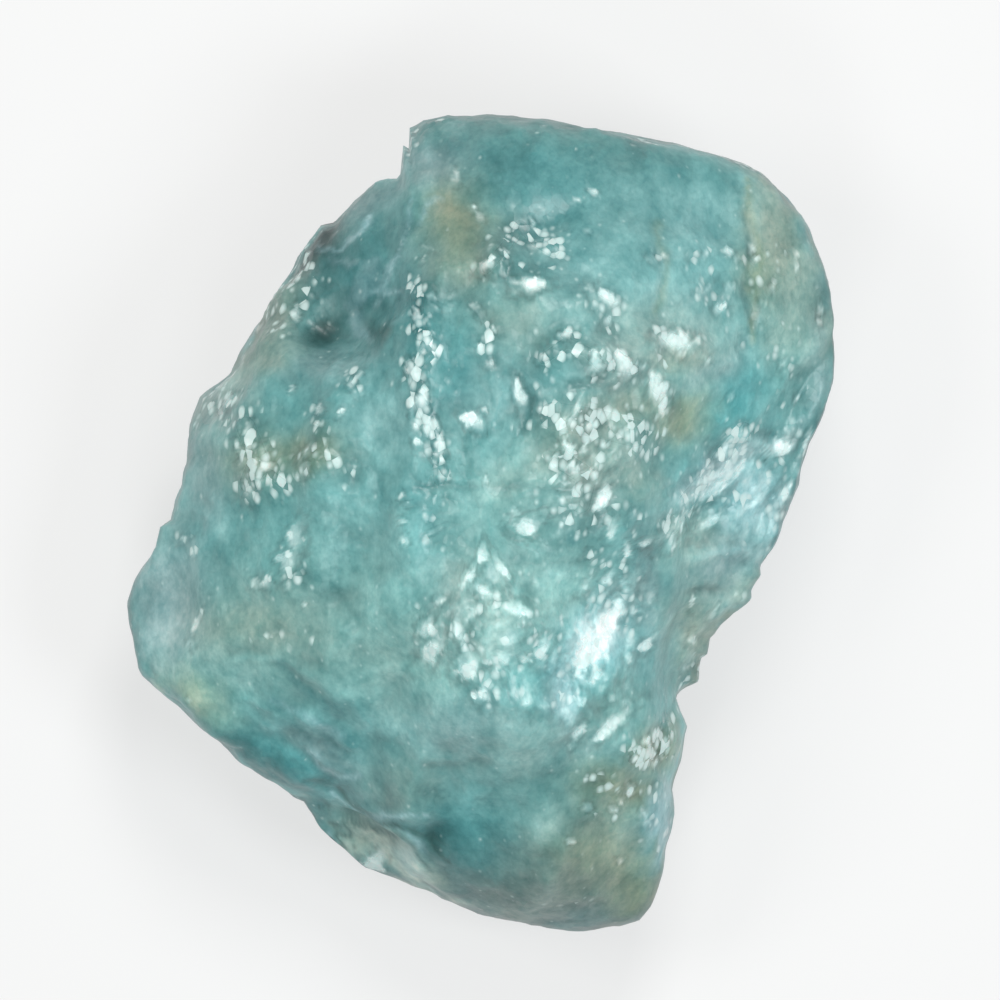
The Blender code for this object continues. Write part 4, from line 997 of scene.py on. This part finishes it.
tree.links.new(base.outputs[2], shader.inputs["Base Color"])
tree.links.new(rough.outputs["Result"], shader.inputs["Roughness"])
tree.links.new(bump.outputs["Normal"], shader.inputs["Normal"])
shader.inputs["IOR"].default_value = 1.575
shader.inputs["Specular IOR Level"].default_value = 0.25
tree.links.new(let_through.outputs["Result"], shader.inputs["Transmission Weight"])
shader.inputs["Subsurface Weight"].default_value = 0.35
shader.inputs["Subsurface Radius"].default_value = (0.5, 1.0, 1.0)
shader.inputs["Subsurface Scale"].default_value = 0.001
absorption = node("ShaderNodeVolumeAbsorption", {"Color": (0.25, 0.8, 0.8, 1.0), "Density": 120.0})
tree.links.new(absorption.outputs["Volume"], surface.inputs["Volume"])

mesh.materials.append(beryl)
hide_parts("aquamarine_stone")
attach(stone, "root")


# ---------------------------------------------------------------------------------------------
# The table: a plain white sweep, larger than the view.
# ---------------------------------------------------------------------------------------------
table_mesh = bpy.data.meshes.new("table")
table_mesh.from_pydata([(-2, -2, 0), (2, -2, 0), (2, 2, 0), (-2, 2, 0)], [], [(0, 1, 2, 3)])
table = bpy.data.objects.new("table", table_mesh)
bpy.context.scene.collection.objects.link(table)
table_paint = bpy.data.materials.new("white_table")
table_paint.use_nodes = True
paint = table_paint.node_tree.nodes["Principled BSDF"]
paint.inputs["Base Color"].default_value = (0.25, 0.25, 0.25, 1.0)
paint.inputs["Roughness"].default_value = 1.0
paint.inputs["Emission Color"].default_value = (1.0, 1.0, 1.0, 1.0)
paint.inputs["Emission Strength"].default_value = 0.58
table_mesh.materials.append(table_paint)


# ---------------------------------------------------------------------------------------------
# Camera and lights: straight above the stone, which lies on its back, with soft lights round it.
# ---------------------------------------------------------------------------------------------
view = bpy.data.cameras.new("camera")
view.lens, view.sensor_width, view.clip_end = 1200.0, 36.0, 10.0
camera = bpy.data.objects.new("camera", view)
camera.location = (0.0006, 0.0007, 1.005)
bpy.context.scene.collection.objects.link(camera)
bpy.context.scene.camera = camera

# Bearing and height of each light in degrees, its side in metres, brightness and colour.
LIGHTS = [
    (80, 56, 0.050, 16.0, (1.0, 1.0, 0.98)),
    (165, 56, 0.050, 8.0, (1.0, 0.98, 0.94)),
    (-20, 56, 0.050, 13.0, (0.93, 0.98, 1.0)),
    (260, 56, 0.040, 10.0, (0.94, 1.0, 1.0)),
]
LIGHT_DISTANCE = 0.16
for number, (bearing, height, side, brightness, hue) in enumerate(LIGHTS):
    lamp = bpy.data.lights.new(f"softbox_{number}", "AREA")
    lamp.size = side
    lamp.energy = brightness * math.pi * side * side
    lamp.color = hue
    softbox = bpy.data.objects.new(f"softbox_{number}", lamp)
    around, rise = math.radians(bearing), math.radians(height)
    toward = np.array([
        math.cos(rise) * math.cos(around), math.cos(rise) * math.sin(around), math.sin(rise),
    ])
    softbox.location = toward * LIGHT_DISTANCE
    softbox.rotation_euler = (math.pi / 2 - rise, 0, around + math.pi / 2)
    bpy.context.scene.collection.objects.link(softbox)

world = bpy.data.worlds.new("studio")
world.use_nodes = True
world.node_tree.nodes["Background"].inputs["Color"].default_value = (1.0, 1.0, 1.0, 1.0)
world.node_tree.nodes["Background"].inputs["Strength"].default_value = 0.35
bpy.context.scene.world = world
bpy.context.scene.view_settings.view_transform = "Standard"
